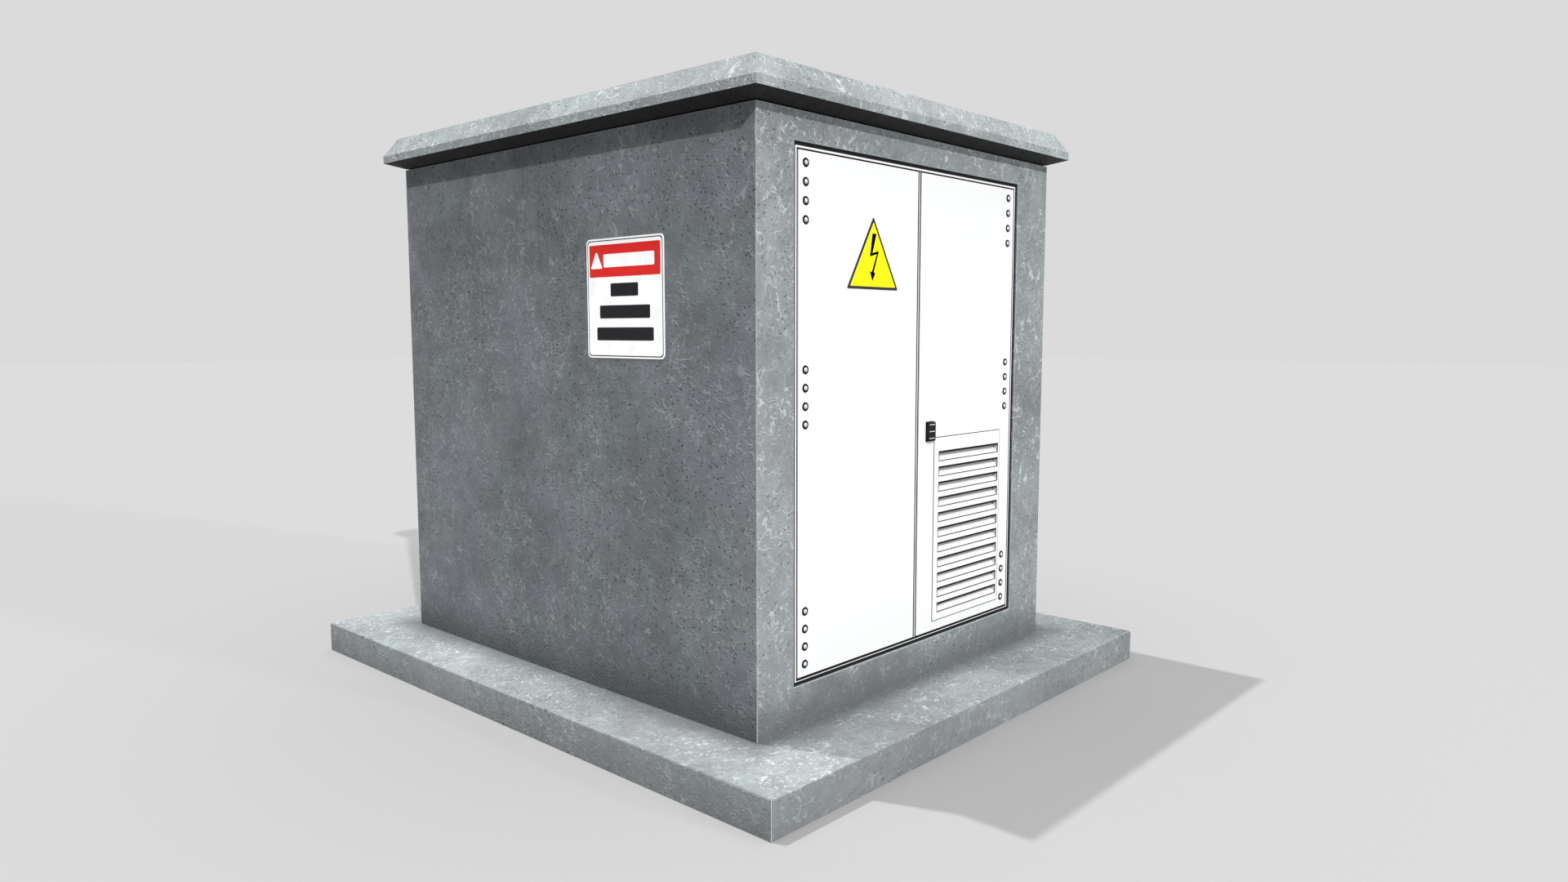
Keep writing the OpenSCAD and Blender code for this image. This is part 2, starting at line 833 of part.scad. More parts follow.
module side_fins() {
    deep = 190;
    color([0.30, 0.37, 0.32])
    for (side = [0, 1], i = [0 : side_fin_n - 1]) {
        y = tank_y0 + 100 + i * (tank_d - 160) / (side_fin_n - 1);
        mirror([side, 0, 0])
            slab([tank_w / 2, y - 7, fin_z0], [tank_w / 2 + deep, y + 7, fin_z1]);
    }
}

module core() {
    color([0.35, 0.36, 0.38]) {
        for (x = limb_xs)
            slab([x - limb / 2, core_y - limb / 2, limb_z0],
                [x + limb / 2, core_y + limb / 2, limb_z1]);
        for (z = [yoke_z0, limb_z1])
            slab([limb_xs[0] - limb / 2, core_y - limb / 2, z],
                [limb_xs[2] + limb / 2, core_y + limb / 2, z + limb]);
    }
}

// Steel channels that squeeze the yokes together, and feet under the lower pair
module core_clamps() {
    reach = 560;
    color([0.50, 0.35, 0.15])
    for (side = [0, 1]) translate([0, core_y, 0]) mirror([0, side, 0]) {
        slab([-reach, limb / 2, yoke_z0 + 30], [reach, limb / 2 + 35, yoke_z0 + 150]);
        slab([-reach, limb / 2, limb_z1 + 30], [reach, limb / 2 + 35, limb_z1 + 150]);
        for (x = [-500, 500])
            slab([x - 40, limb / 2, tank_z0 + tank_t], [x + 40, limb / 2 + 60, yoke_z0 + 30]);
    }
}

// A winding tube on each limb
module windings(r_in, r_out, trim) {
    for (x = limb_xs) translate([x, core_y, limb_z0 + trim]) difference() {
        cylinder(h = limb_z1 - limb_z0 - 2 * trim, r = r_out);
        translate([0, 0, -eps])
            cylinder(h = limb_z1 - limb_z0 - 2 * trim + 2 * eps, r = r_in);
    }
}

module lv_coils() {
    color([0.72, 0.45, 0.20]) windings(130, 152, 20);
}

module hv_coils() {
    color([0.60, 0.30, 0.12]) windings(162, 190, 35);
}

spade_w = 76;
spade_pitch = 44.45;
spade_hole_r = 7.15;

// Low-voltage bushing: porcelain body through the plate, with a four-hole spade in front
module lv_bushings() {
    spade_y = tank_y0 - 190;
    color([0.55, 0.30, 0.18])
    for (x = lv_xs) {
        bar_y(x, lv_z, 42, tank_y0 - 30, tank_y0);
        bar_y(x, lv_z, 29.7, tank_y0 - 5, tank_y0 + 60);
        bar_y(x, lv_z, 34, tank_y0 - 70, tank_y0 - 29);
        bar_y(x, lv_z, 18, tank_y0 - 110, tank_y0 - 69);
        difference() {
            slab([x - 6, spade_y, lv_z - spade_w / 2], [x + 6, tank_y0 - 100, lv_z + spade_w / 2]);
            for (dy = [-1, 1], dz = [-1, 1])
                translate([x - 10, spade_y + 38 + dy * spade_pitch / 2,
                    lv_z + dz * spade_pitch / 2])
                    rotate([0, 90, 0]) cylinder(h = 20, r = spade_hole_r);
        }
    }
}

// High-voltage bushing wells with their insulated caps on
module hv_bushings() {
    color([0.45, 0.12, 0.10])
    for (x = phase_xs) {
        bar_y(x, hv_z, 60, tank_y0 - 16, tank_y0);
        bar_y(x, hv_z, 44.7, tank_y0 - 5, tank_y0 + 70);
        translate([x, tank_y0 - 15, hv_z]) rotate([90, 0, 0]) rotate_extrude()
            polygon([[0, 0], [42, 0], [38, 90], [30, 94], [30, 120], [16, 128], [16, 150],
                [0, 150]]);
    }
}

fuse_run = 0.5;
fuse_tube = 22;

module fuse_housings() {
    color([0.20, 0.20, 0.22])
    for (x = phase_xs) difference() {
        union() {
            bar_y(x, fuse_z, 31.7, tank_y0 - 60, tank_y0 + 150);
            bar_y(x, fuse_z, 46, tank_y0 - 12, tank_y0);
        }
        bar_y(x, fuse_z, fuse_tube, tank_y0 - 60 - eps, tank_y0 + 140);
    }
}

// A draw-out fuse: handle ring, plug and the fuse link behind it
module fuse_holder(i) {
    x = phase_xs[i];
    cap_y = tank_y0 - 60 - fuse_run;
    color([0.75, 0.62, 0.20]) {
        bar_y(x, fuse_z, fuse_tube - fuse_run, cap_y - eps, tank_y0 + 130);
        bar_y(x, fuse_z, 32, cap_y - 20, cap_y);
        difference() {
            slab([x - 5, cap_y - 70, fuse_z - 24], [x + 5, cap_y - 19, fuse_z + 24]);
            translate([x - 10, cap_y - 46, fuse_z]) rotate([0, 90, 0]) cylinder(h = 20, r = 14);
        }
    }
}

module fuse_holder_1() {
    fuse_holder(0);
}

module fuse_holder_2() {
    fuse_holder(1);
}

module fuse_holder_3() {
    fuse_holder(2);
}

// A turning control on the front plate: boss, spindle and a lever with a cross grip
module front_control(x, z, boss_r, lever) {
    bar_y(x, z, boss_r, tank_y0 - 40, tank_y0 - 0.3);
    bar_y(x, z, boss_r * 0.6, tank_y0 - 60, tank_y0 - 39);
    slab([x - 8, tank_y0 - 60, z - lever], [x + 8, tank_y0 - 48, z + 20]);
    bar_y(x, z - lever + 10, 10, tank_y0 - 110, tank_y0 - 49);
}

switch_x = -380;
switch_z = 860;
tap_x = -560;
tap_z = 620;

module switch_handle() {
    color([0.80, 0.12, 0.08]) front_control(switch_x, switch_z, 34, 110);
}

module tap_handle() {
    color([0.75, 0.62, 0.20]) front_control(tap_x, tap_z, 24, 60);
}

gauge_x = 200;
gauge_r = 55;

module level_gauge() {
    color([0.82, 0.83, 0.83])
    difference() {
        bar_y(gauge_x, gauge_z, gauge_r, tank_y0 - 34, tank_y0);
        bar_y(gauge_x, gauge_z, gauge_r - 6, tank_y0 - 34 - eps, tank_y0 - 24);
    }
}

module gauge_pointer() {
    color([0.80, 0.10, 0.08]) {
        bar_y(gauge_x, gauge_z, 6, tank_y0 - 30, tank_y0 - 24.3);
        slab([gauge_x - 1.5, tank_y0 - 28, gauge_z], [gauge_x + 1.5, tank_y0 - 26, gauge_z + 40]);
    }
}

module relief_valve() {
    color([0.78, 0.66, 0.30]) {
        bar_y(380, gauge_z, 16, tank_y0 - 40, tank_y0);
        bar_y(380, gauge_z, 24, tank_y0 - 60, tank_y0 - 39);
        bar_y(380, gauge_z, 8, tank_y0 - 74, tank_y0 - 59);
    }
}

drain_x = 560;
drain_z = tank_z0 + 80;

module drain_valve() {
    color([0.72, 0.58, 0.28]) {
        bar_y(drain_x, drain_z, 20, tank_y0 - 90, tank_y0);
        bar_y(drain_x, drain_z, 30, tank_y0 - 12, tank_y0);
        bar_z(drain_x, tank_y0 - 60, 16, drain_z, drain_z + 60);
        bar_z(drain_x, tank_y0 - 60, 5, drain_z + 60 - eps, drain_z + 84);
    }
}

module drain_handwheel() {
    color([0.72, 0.10, 0.08])
    translate([drain_x, tank_y0 - 60, drain_z + 68]) difference() {
        union() {
            rotate_extrude() translate([34, 5]) circle(5);
            for (a = [0 : 60 : 120]) rotate([0, 0, a]) translate([-34, -3, 2]) cube([68, 6, 6]);
            cylinder(h = 10, r = 10);
        }
        translate([0, 0, -eps]) cylinder(h = 12 + eps, r = 5 + run_gap);
    }
}

foundation_pad();
front_wall();
rear_wall();
left_wall();
right_wall();
roof_seal();
roof_slab();
lifting_sockets();
corner_brackets();
anchor_bolts();
door_frame();
centre_post();
hinge_brackets();
hinge_pins();
left_door_pan();
left_door_ribs();
left_hinge_straps();
left_hinge_bolts();
left_door_seal();
hazard_plate();
left_top_bolt();
left_bottom_bolt();
right_door_pan();
right_door_ribs();
right_hinge_straps();
right_hinge_bolts();
right_door_seal();
inlet_panel();
inlet_blades();
insect_screen();
latch_plate();
latch_handle();
right_top_rod();
right_bottom_rod();
side_sign();
compartment_barrier();
skid_base();
transformer_tank();
tank_cover();
cover_gasket();
cover_bolts();
rear_fins();
side_fins();
core();
core_clamps();
lv_coils();
hv_coils();
lv_bushings();
hv_bushings();
fuse_housings();
fuse_holder_1();
fuse_holder_2();
fuse_holder_3();
switch_handle();
tap_handle();
level_gauge();
gauge_pointer();
relief_valve();
drain_valve();
drain_handwheel();
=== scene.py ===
import json
import math

import bmesh
import bpy
from mathutils import Euler, Matrix, Vector


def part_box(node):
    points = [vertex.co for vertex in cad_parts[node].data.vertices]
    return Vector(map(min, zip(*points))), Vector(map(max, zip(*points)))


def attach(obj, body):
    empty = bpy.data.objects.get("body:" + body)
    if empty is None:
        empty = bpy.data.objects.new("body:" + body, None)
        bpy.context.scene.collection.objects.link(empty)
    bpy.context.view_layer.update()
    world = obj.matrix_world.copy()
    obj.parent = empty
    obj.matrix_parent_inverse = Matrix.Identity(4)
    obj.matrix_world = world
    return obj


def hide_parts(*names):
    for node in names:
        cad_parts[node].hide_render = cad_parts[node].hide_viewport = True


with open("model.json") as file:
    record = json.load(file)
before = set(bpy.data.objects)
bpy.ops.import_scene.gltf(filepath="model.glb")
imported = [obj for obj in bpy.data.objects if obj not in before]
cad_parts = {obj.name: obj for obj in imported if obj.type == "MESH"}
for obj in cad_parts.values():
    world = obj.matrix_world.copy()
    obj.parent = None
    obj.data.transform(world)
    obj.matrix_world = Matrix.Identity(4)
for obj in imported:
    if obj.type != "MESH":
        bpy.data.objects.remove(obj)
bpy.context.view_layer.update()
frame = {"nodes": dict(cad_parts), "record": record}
node = frame["nodes"]


# ---------------------------------------------------------------- the place
# The housing stands on a pale, even floor under a broad soft light. One light from the front left
# picks out the doors, a weak low one comes from the right, and one from high behind lights the
# roof and throws a short shadow forward and right.

floor_reach = 60.0
backdrop_grey = 0.709
lens_mm = 24.462
eye_place = (-3.7303, -3.8093, 1.6407)
eye_right = (0.67395, -0.73878, 0.0001)
eye_up = (0.07497, 0.06852, 0.99483)

scene = bpy.context.scene
scene.view_settings.view_transform = "Standard"

camera = bpy.data.cameras.new("viewpoint")
camera.sensor_width = 36.0
camera.lens = lens_mm
camera.clip_end = 200.0
eye = bpy.data.objects.new("viewpoint", camera)
right = Vector(eye_right).normalized()
up = Vector(eye_up).normalized()
eye.matrix_world = Matrix.Translation(eye_place) @ Matrix(
    (right, up, right.cross(up))
).transposed().to_4x4()
scene.collection.objects.link(eye)
scene.camera = eye


def sunlight(name, travel, strength, softness):
    """A distant light that shines along travel. softness is its apparent size in degrees."""
    lamp = bpy.data.lights.new(name, "SUN")
    lamp.energy = strength
    lamp.angle = math.radians(softness)
    holder = bpy.data.objects.new(name, lamp)
    holder.rotation_euler = Vector(travel).to_track_quat("-Z", "Y").to_euler()
    scene.collection.objects.link(holder)


sunlight("front_light", (0.366, 0.723, -0.586), 3.40, 1.0)
sunlight("low_light", (-0.253, 0.936, -0.244), 1.15, 4.0)
sunlight("back_light", (0.13, -0.337, -0.933), 2.72, 0.9)
sunlight("overhead_softbox", (0.0, 0.0, -1.0), 3.10, 90.0)

sky = bpy.data.worlds.new("studio")
sky.use_nodes = True
sky_nodes = sky.node_tree.nodes
sky_links = sky.node_tree.links
ambient = sky_nodes["Background"]
ambient.inputs["Color"].default_value = (0.93, 0.97, 1.0, 1)
ambient.inputs["Strength"].default_value = 0.15
backdrop = sky_nodes.new("ShaderNodeBackground")
backdrop.inputs["Color"].default_value = (backdrop_grey, backdrop_grey * 0.995, backdrop_grey, 1)
seen = sky_nodes.new("ShaderNodeLightPath")
either = sky_nodes.new("ShaderNodeMixShader")
sky_links.new(seen.outputs["Is Camera Ray"], either.inputs[0])
sky_links.new(ambient.outputs[0], either.inputs[1])
sky_links.new(backdrop.outputs[0], either.inputs[2])
sky_links.new(either.outputs[0], sky_nodes["World Output"].inputs["Surface"])
scene.world = sky

floor_mesh = bpy.data.meshes.new("floor")
floor_mesh.from_pydata(
    [(x * floor_reach, y * floor_reach, 0) for x, y in ((-1, -1), (1, -1), (1, 1), (-1, 1))],
    [],
    [(0, 1, 2, 3)],
)
floor = bpy.data.objects.new("floor", floor_mesh)
scene.collection.objects.link(floor)
floor_paint = bpy.data.materials.new("floor_paint")
floor_paint.use_nodes = True
floor_shader = floor_paint.node_tree.nodes["Principled BSDF"]
floor_shader.inputs["Base Color"].default_value = (0.272, 0.271, 0.271, 1)
floor_shader.inputs["Roughness"].default_value = 1.0
floor_shader.inputs["Specular IOR Level"].default_value = 0.0
floor_mesh.materials.append(floor_paint)


# ---------------------------------------------------------------- site pad
# One slab of cast concrete with a bevelled top edge and a window under each cable compartment.
# It is placed first and everything else stands on it. Painted shade darkens its sides below
# the top edge and its top round the housing's foot.


class Finish:
    """A material built up in layers over the piece's own coordinates."""

    def __init__(self, name, roughness=0.5, metallic=0.0, specular=0.5):
        self.material = bpy.data.materials.new(name)
        self.material.use_nodes = True
        self.nodes = self.material.node_tree.nodes
        self.links = self.material.node_tree.links
        self.shader = self.nodes["Principled BSDF"]
        self.shader.inputs["Roughness"].default_value = roughness
        self.shader.inputs["Metallic"].default_value = metallic
        self.shader.inputs["Specular IOR Level"].default_value = specular
        self.place = self.nodes.new("ShaderNodeTexCoord").outputs["Object"]

    def feed(self, value, socket):
        if isinstance(value, bpy.types.NodeSocket):
            self.links.new(value, socket)
        elif isinstance(value, (tuple, list)) and len(value) == 3 and socket.type == "RGBA":
            socket.default_value = (*value, 1)
        else:
            socket.default_value = value

    def mapped(self, stretch=(1, 1, 1), turn=(0, 0, 0)):
        mapping = self.nodes.new("ShaderNodeMapping")
        mapping.inputs["Scale"].default_value = stretch
        mapping.inputs["Rotation"].default_value = [math.radians(a) for a in turn]
        self.links.new(self.place, mapping.inputs["Vector"])
        return mapping.outputs["Vector"]

    def noise(self, scale, detail=4.0, rough=0.5, swirl=0.0, stretch=(1, 1, 1), turn=(0, 0, 0)):
        texture = self.nodes.new("ShaderNodeTexNoise")
        texture.inputs["Scale"].default_value = scale
        texture.inputs["Detail"].default_value = detail
        texture.inputs["Roughness"].default_value = rough
        texture.inputs["Distortion"].default_value = swirl
        self.links.new(self.mapped(stretch, turn), texture.inputs["Vector"])
        return texture.outputs["Fac"]

    def cells(self, scale):
        """Distance from the nearest cell's middle, and one random number per cell."""
        texture = self.nodes.new("ShaderNodeTexVoronoi")
        texture.inputs["Scale"].default_value = scale
        self.links.new(self.mapped(), texture.inputs["Vector"])
        apart = self.nodes.new("ShaderNodeSeparateColor")
        self.links.new(texture.outputs["Color"], apart.inputs["Color"])
        return texture.outputs["Distance"], apart.outputs["Red"]

    def strokes(self, scale, width, swirl, stretch, turn):
        """Thin broken lines, as a scraper or a dragged panel leaves them."""
        line = self.noise(scale, 1, 0.45, swirl, stretch, turn)
        off_line = self.sum("ABSOLUTE", self.sum("SUBTRACT", line, 0.5), 0.0)
        gaps = self.span(self.noise(scale * 1.7, 2, 0.5, 0.5), 0.51, 0.56)
        return self.sum("MULTIPLY", self.span(off_line, 0.0, width, 1.0, 0.0), gaps)

    def split(self, vector):
        """The X, Y and Z of a vector, by name."""
        apart = self.nodes.new("ShaderNodeSeparateXYZ")
        self.links.new(vector, apart.inputs["Vector"])
        return apart.outputs

    def height_of(self, low, high):
        """Eases from 1 to 0 as the height above the ground runs from low to high."""
        return self.span(self.split(self.place)["Z"], low, high, 1.0, 0.0)

    def beyond(self, half_x, half_y):
        """How far a point lies outside an upright box about the middle, measured level."""
        part = self.split(self.place)
        past_x = self.sum("SUBTRACT", self.sum("ABSOLUTE", part["X"], 0.0), half_x)
        past_y = self.sum("SUBTRACT", self.sum("ABSOLUTE", part["Y"], 0.0), half_y)
        return self.sum("MAXIMUM", past_x, past_y)

    def facing_down(self):
        """1 where a face looks down, 0 where it stands upright or looks up."""
        shape = self.nodes.new("ShaderNodeNewGeometry")
        return self.span(self.split(shape.outputs["Normal"])["Z"], -0.85, -0.35, 1.0, 0.0)

    def span(self, value, low, high, to_low=0.0, to_high=1.0):
        """Eases value from to_low to to_high as it runs from low to high."""
        reach = self.nodes.new("ShaderNodeMapRange")
        reach.interpolation_type = "SMOOTHSTEP"
        self.links.new(value, reach.inputs["Value"])
        for name, number in (
            ("From Min", low),
            ("From Max", high),
            ("To Min", to_low),
            ("To Max", to_high),
        ):
            reach.inputs[name].default_value = number
        return reach.outputs["Result"]

    def sum(self, kind, a, b):
        math_node = self.nodes.new("ShaderNodeMath")
        math_node.operation = kind
        self.feed(a, math_node.inputs[0])
        self.feed(b, math_node.inputs[1])
        return math_node.outputs["Value"]

    def mix(self, share, a, b, kind="MIX"):
        blend = self.nodes.new("ShaderNodeMix")
        blend.data_type = "RGBA"
        blend.blend_type = kind
        self.feed(share, blend.inputs["Factor"])
        self.feed(a, blend.inputs["A"])
        self.feed(b, blend.inputs["B"])
        return blend.outputs["Result"]

    def colour(self, value):
        self.feed(value, self.shader.inputs["Base Color"])

    def roughness(self, value):
        self.feed(value, self.shader.inputs["Roughness"])

    def relief(self, height, depth):
        bump = self.nodes.new("ShaderNodeBump")
        bump.inputs["Strength"].default_value = 1.0
        bump.inputs["Distance"].default_value = depth
        self.links.new(height, bump.inputs["Height"])
        self.links.new(bump.outputs["Normal"], self.shader.inputs["Normal"])


def tinted(colour, factor):
    return tuple(channel * factor for channel in colour)


def cast_concrete(name, tone, scraped=0.5, blistered=0.5, dirt_and_shade_below=None, shaded_underside=False, foot=None):
    """Cast concrete: cloudy tone, pale scrape marks in patches, blisters and small pits, the pits
    painted dark as painted shade. Below two given heights and by a given share the colour darkens,
    partly dirt and partly painted shade. foot is the half width and depth of what stands on it;
    round it the colour darkens as painted shade. Faces that look down can be painted near-black, as
    painted shade."""
    pale_grey = (0.56, 0.594, 0.612)
    finish = Finish(name, roughness=0.78, specular=0.3)
    clouds = finish.noise(1.3, detail=6, rough=0.60)
    colour = finish.mix(
        finish.span(clouds, 0.34, 0.66), tinted(tone, 0.80), tinted(tone, 1.14)
    )
    green = finish.span(finish.noise(1.9, detail=4, swirl=0.4), 0.42, 0.62)
    colour = finish.mix(green, colour, (0.96, 1.012, 0.98), "MULTIPLY")
    mottle = finish.noise(9.0, detail=9, rough=0.70)
    colour = finish.mix(
        finish.span(mottle, 0.36, 0.64), colour, tinted((1, 1, 1), 0.79), "MULTIPLY"
    )
    grain = finish.noise(85.0, detail=6, rough=0.75)
    colour = finish.mix(
        finish.span(grain, 0.36, 0.66), colour, tinted((1, 1, 1), 0.88), "MULTIPLY"
    )
    patch = finish.span(finish.noise(2.4, detail=6, rough=0.70), 0.42, 0.56, 0.35, 1.0)
    colour = finish.mix(finish.sum("MULTIPLY", patch, 0.12 * scraped), colour, pale_grey)
    marks = finish.strokes(8.0, 0.020, 1.0, (1.0, 1.0, 0.9), (34, 26, 0))
    for scale, width, swirl, turn in (
        (12.0, 0.028, 1.2, (-38, -30, 10)),
        (17.0, 0.036, 1.3, (40, 34, 0)),
        (24.0, 0.046, 1.3, (-30, 42, 25)),
    ):
        more = finish.strokes(scale, width, swirl, (1.0, 1.0, 0.9), turn)
        marks = finish.sum("MAXIMUM", marks, more)
    flakes = finish.noise(46.0, 2, 0.55, 2.2, (1.0, 1.0, 0.7), (30, 28, 0))
    flakes = finish.span(flakes, 0.625, 0.640)
    scrapes = finish.sum("MAXIMUM", marks, finish.sum("MULTIPLY", flakes, 0.4))
    scrapes = finish.sum("MULTIPLY", scrapes, patch)
    colour = finish.mix(finish.sum("MULTIPLY", scrapes, scraped), colour, pale_grey)
    blisters = 0.0
    rash = finish.span(finish.noise(1.7, detail=3, rough=0.5), 0.44, 0.58, 0.18, 1.0)
    for scale, share in ((22.0, 0.84), (36.0, 0.72), (58.0, 0.64)):
        near, draw = finish.cells(scale)
        some = finish.span(draw, share, share + 0.04)
        bump = finish.sum("MULTIPLY", finish.span(near, 0.05, 0.30, 1.0, 0.0), some)
        blisters = finish.sum("MAXIMUM", blisters, bump)
    blisters = finish.sum("MULTIPLY", blisters, rash)
    near, draw = finish.cells(38.0)
    pits = finish.sum(
        "MULTIPLY", finish.span(near, 0.05, 0.17, 1.0, 0.0), finish.span(draw, 0.86, 0.88)
    )
    # The pits are painted darker than the face round them: painted shade in the hollows.
    colour = finish.mix(finish.sum("MULTIPLY", pits, 0.55), colour, tinted(tone, 0.35))
    # Below the given heights the colour darkens: partly dirt, partly painted shade.
    if dirt_and_shade_below:
        low, high, share = dirt_and_shade_below
        dirt_and_shade = finish.sum("MULTIPLY", finish.height_of(low, high), share)
        colour = finish.mix(dirt_and_shade, colour, tinted(tone, 0.42))
    # Painted shade: the colour darkens round the foot of what stands on the surface.
    if foot:
        grime_and_shade = finish.span(finish.beyond(*foot), -0.02, 0.17, 0.78, 0.0)
        colour = finish.mix(grime_and_shade, colour, tinted(tone, 0.30))
    # Painted shade: faces that look down are painted near-black.
    if shaded_underside:
        underside_shade = finish.sum("MULTIPLY", finish.facing_down(), 0.97)
        colour = finish.mix(underside_shade, colour, tinted((1, 1, 1), 0.006))
    finish.colour(colour)
    raised = finish.sum("MULTIPLY", blisters, 1.8 * blistered)
    raised = finish.sum("SUBTRACT", raised, finish.sum("MULTIPLY", pits, 0.8))
    raised = finish.sum("ADD", raised, finish.sum("MULTIPLY", mottle, 0.8))
    raised = finish.sum("ADD", raised, finish.sum("MULTIPLY", grain, 0.35))
    raised = finish.sum("ADD", raised, finish.sum("MULTIPLY", scrapes, 0.30))
    finish.relief(raised, 0.0062)
    finish.roughness(finish.span(mottle, 0.3, 0.7, 0.70, 0.88))
    return finish.material


def highlit_arris(name, tone):
    """The narrow bevel along a concrete edge, painted paler than the faces beside it: a painted
    highlight.
    """
    finish = Finish(name, roughness=0.7, specular=0.3)
    worn = finish.noise(14.0, detail=6, rough=0.7)
    finish.colour(finish.mix(finish.span(worn, 0.36, 0.60), tinted(tone, 0.75), tone))
    finish.relief(finish.noise(60.0, detail=3), 0.001)
    return finish.material


body_of_node = {
    member: body
    for body, members in frame["record"]["behaviour"]["bodies"].items()
    for member in members
}


def eased(name, width, *materials, segments=2, angle=30.0):
    """Stands for a CAD piece with a merged copy whose edges are eased, in its finish. A second
    material goes on the easing."""
    shape = bmesh.new()
    shape.from_mesh(node[name].data)
    bmesh.ops.remove_doubles(shape, verts=shape.verts[:], dist=0.00002)
    mesh = bpy.data.meshes.new(f"{name}_finished")
    shape.to_mesh(mesh)
    shape.free()
    if "custom_normal" in mesh.attributes:
        mesh.attributes.remove(mesh.attributes["custom_normal"])
    mesh.shade_smooth()
    mesh.set_sharp_from_angle(angle=math.radians(angle))
    for material in materials:
        mesh.materials.append(material)
    piece = bpy.data.objects.new(f"{name}_finished", mesh)
    scene.collection.objects.link(piece)
    bevel = piece.modifiers.new("easing", "BEVEL")
    bevel.width = width
    bevel.segments = segments
    bevel.limit_method = "ANGLE"
    bevel.angle_limit = math.radians(angle)
    bevel.use_clamp_overlap = True
    bevel.harden_normals = True
    bevel.material = len(materials) - 1
    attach(piece, body_of_node[name])
    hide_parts(name)
    return piece


pad_tone = (0.236, 0.250, 0.259)
housing_half = (1.0165, 1.2015)
# The paler bevel along the concrete edges is a painted highlight.
arris_highlight = highlit_arris("arris_highlight", (0.318, 0.342, 0.350))
# On the pad, the darkening below its top edge is painted shade on its sides, and the darkening
# round the housing is painted shade at its foot.
pad_concrete = cast_concrete(
    "pad_concrete", pad_tone, scraped=0.58, dirt_and_shade_below=(0.135, 0.1425, 0.55), foot=housing_half
)
eased("foundation_pad", 0.002, pad_concrete, arris_highlight, angle=50)


# ---------------------------------------------------------------- wall panels
# Four precast panels with mitred ends make the housing. Their outer faces come from a steel
# mould, so they are flat and clouded, with drag marks and blisters. Their arrises are painted
# paler, a painted highlight. The left and rear panels are a darker copy of the concrete, painted
# shade, and all four darken towards the foot, partly dirt splash and partly painted shade.

wall_tone = (0.196, 0.209, 0.219)
# Painted shade: the left and rear walls get a darker copy of the wall concrete.
painted_shade_tone = (0.156, 0.165, 0.180)
# The walls darken towards the foot: partly dirt splash, partly painted shade.
dirt_and_shade = (0.14, 0.37, 0.80)
wall_concrete = cast_concrete("wall_concrete", wall_tone, scraped=0.48, dirt_and_shade_below=dirt_and_shade)
painted_shade_concrete = cast_concrete(
    "painted_shade_concrete", painted_shade_tone, scraped=0.22, blistered=2.0, dirt_and_shade_below=dirt_and_shade
)
for name in ("front_wall", "right_wall"):
    eased(name, 0.0025, wall_concrete, arris_highlight)
for name in ("left_wall", "rear_wall"):
    eased(name, 0.0025, painted_shade_concrete, arris_highlight)


# ---------------------------------------------------------------- roof
# A precast slab with sloping edges and a drip soffit sits on a cellular rubber strip on the wall
# tops. Four threaded steel sockets are cast in for lifting it off.

roof_tone = (0.250, 0.267, 0.277)
# The soffit and the roof's other downward faces are painted near-black: painted shade.
roof_concrete = cast_concrete("roof_concrete", roof_tone, scraped=0.54, shaded_underside=True)
eased("roof_slab", 0.0025, roof_concrete, arris_highlight)


def cellular_rubber(name, tone=0.02):
    finish = Finish(name, roughness=0.9, specular=0.1)
    pores = finish.noise(420.0, detail=3, rough=0.6)
    skin = tinted((1, 1, 1), tone)
    worn = tinted((2.2, 2.2, 2.3), tone)
    finish.colour(finish.mix(finish.span(pores, 0.35, 0.65), skin, worn))
    finish.relief(pores, 0.0006)
    return finish.material


def zinc_plate(name, tone=(0.52, 0.53, 0.55)):
    """Zinc-plated steel, with the faint spangle and dull patches of years in a wet place."""
    finish = Finish(name, roughness=0.42, metallic=1.0)
    spangle, _ = finish.cells(95.0)
    dull = finish.noise(7.0, detail=6, rough=0.6)
    colour = finish.mix(finish.span(spangle, 0.0, 0.9), tinted(tone, 0.86), tinted(tone, 1.08))
    finish.colour(finish.mix(finish.span(dull, 0.50, 0.72), colour, (0.36, 0.36, 0.35)))
    finish.roughness(finish.span(dull, 0.35, 0.70, 0.34, 0.62))
    finish.relief(finish.noise(160.0, detail=2), 0.0003)
    return finish.material


# Rubber painted near-black, darker than rubber is: the seals and gaskets are real, but its
# blackness is painted shade on the strip under the eave and in the dark lines round the frame, the
# leaves and the inlet.
seal_rubber = cellular_rubber("seal_rubber", 0.006)
zinc_steel = zinc_plate("zinc_steel")


def keep(name, material):
    """Gives a CAD piece its finish and leaves its shape alone."""
    node[name].data.materials.clear()
    node[name].data.materials.append(material)


keep("roof_seal", seal_rubber)
keep("lifting_sockets", zinc_steel)


# ---------------------------------------------------------------- corner brackets and anchors
# Zinc-plated steel angles tie the panels together inside, top and bottom of each corner, held by
# hexagon-head anchors. The same anchors hold the door frame in its opening.

eased("corner_brackets", 0.0012, zinc_steel)
eased("anchor_bolts", 0.0008, zinc_steel)


# ---------------------------------------------------------------- door frame
# A folded steel frame with a fixed centre post, powder coated white and set a little way back
# in the doorway. A bead of black mastic closes the joint between the frame and the concrete; its
# black and its width are partly painted shade along the joint.


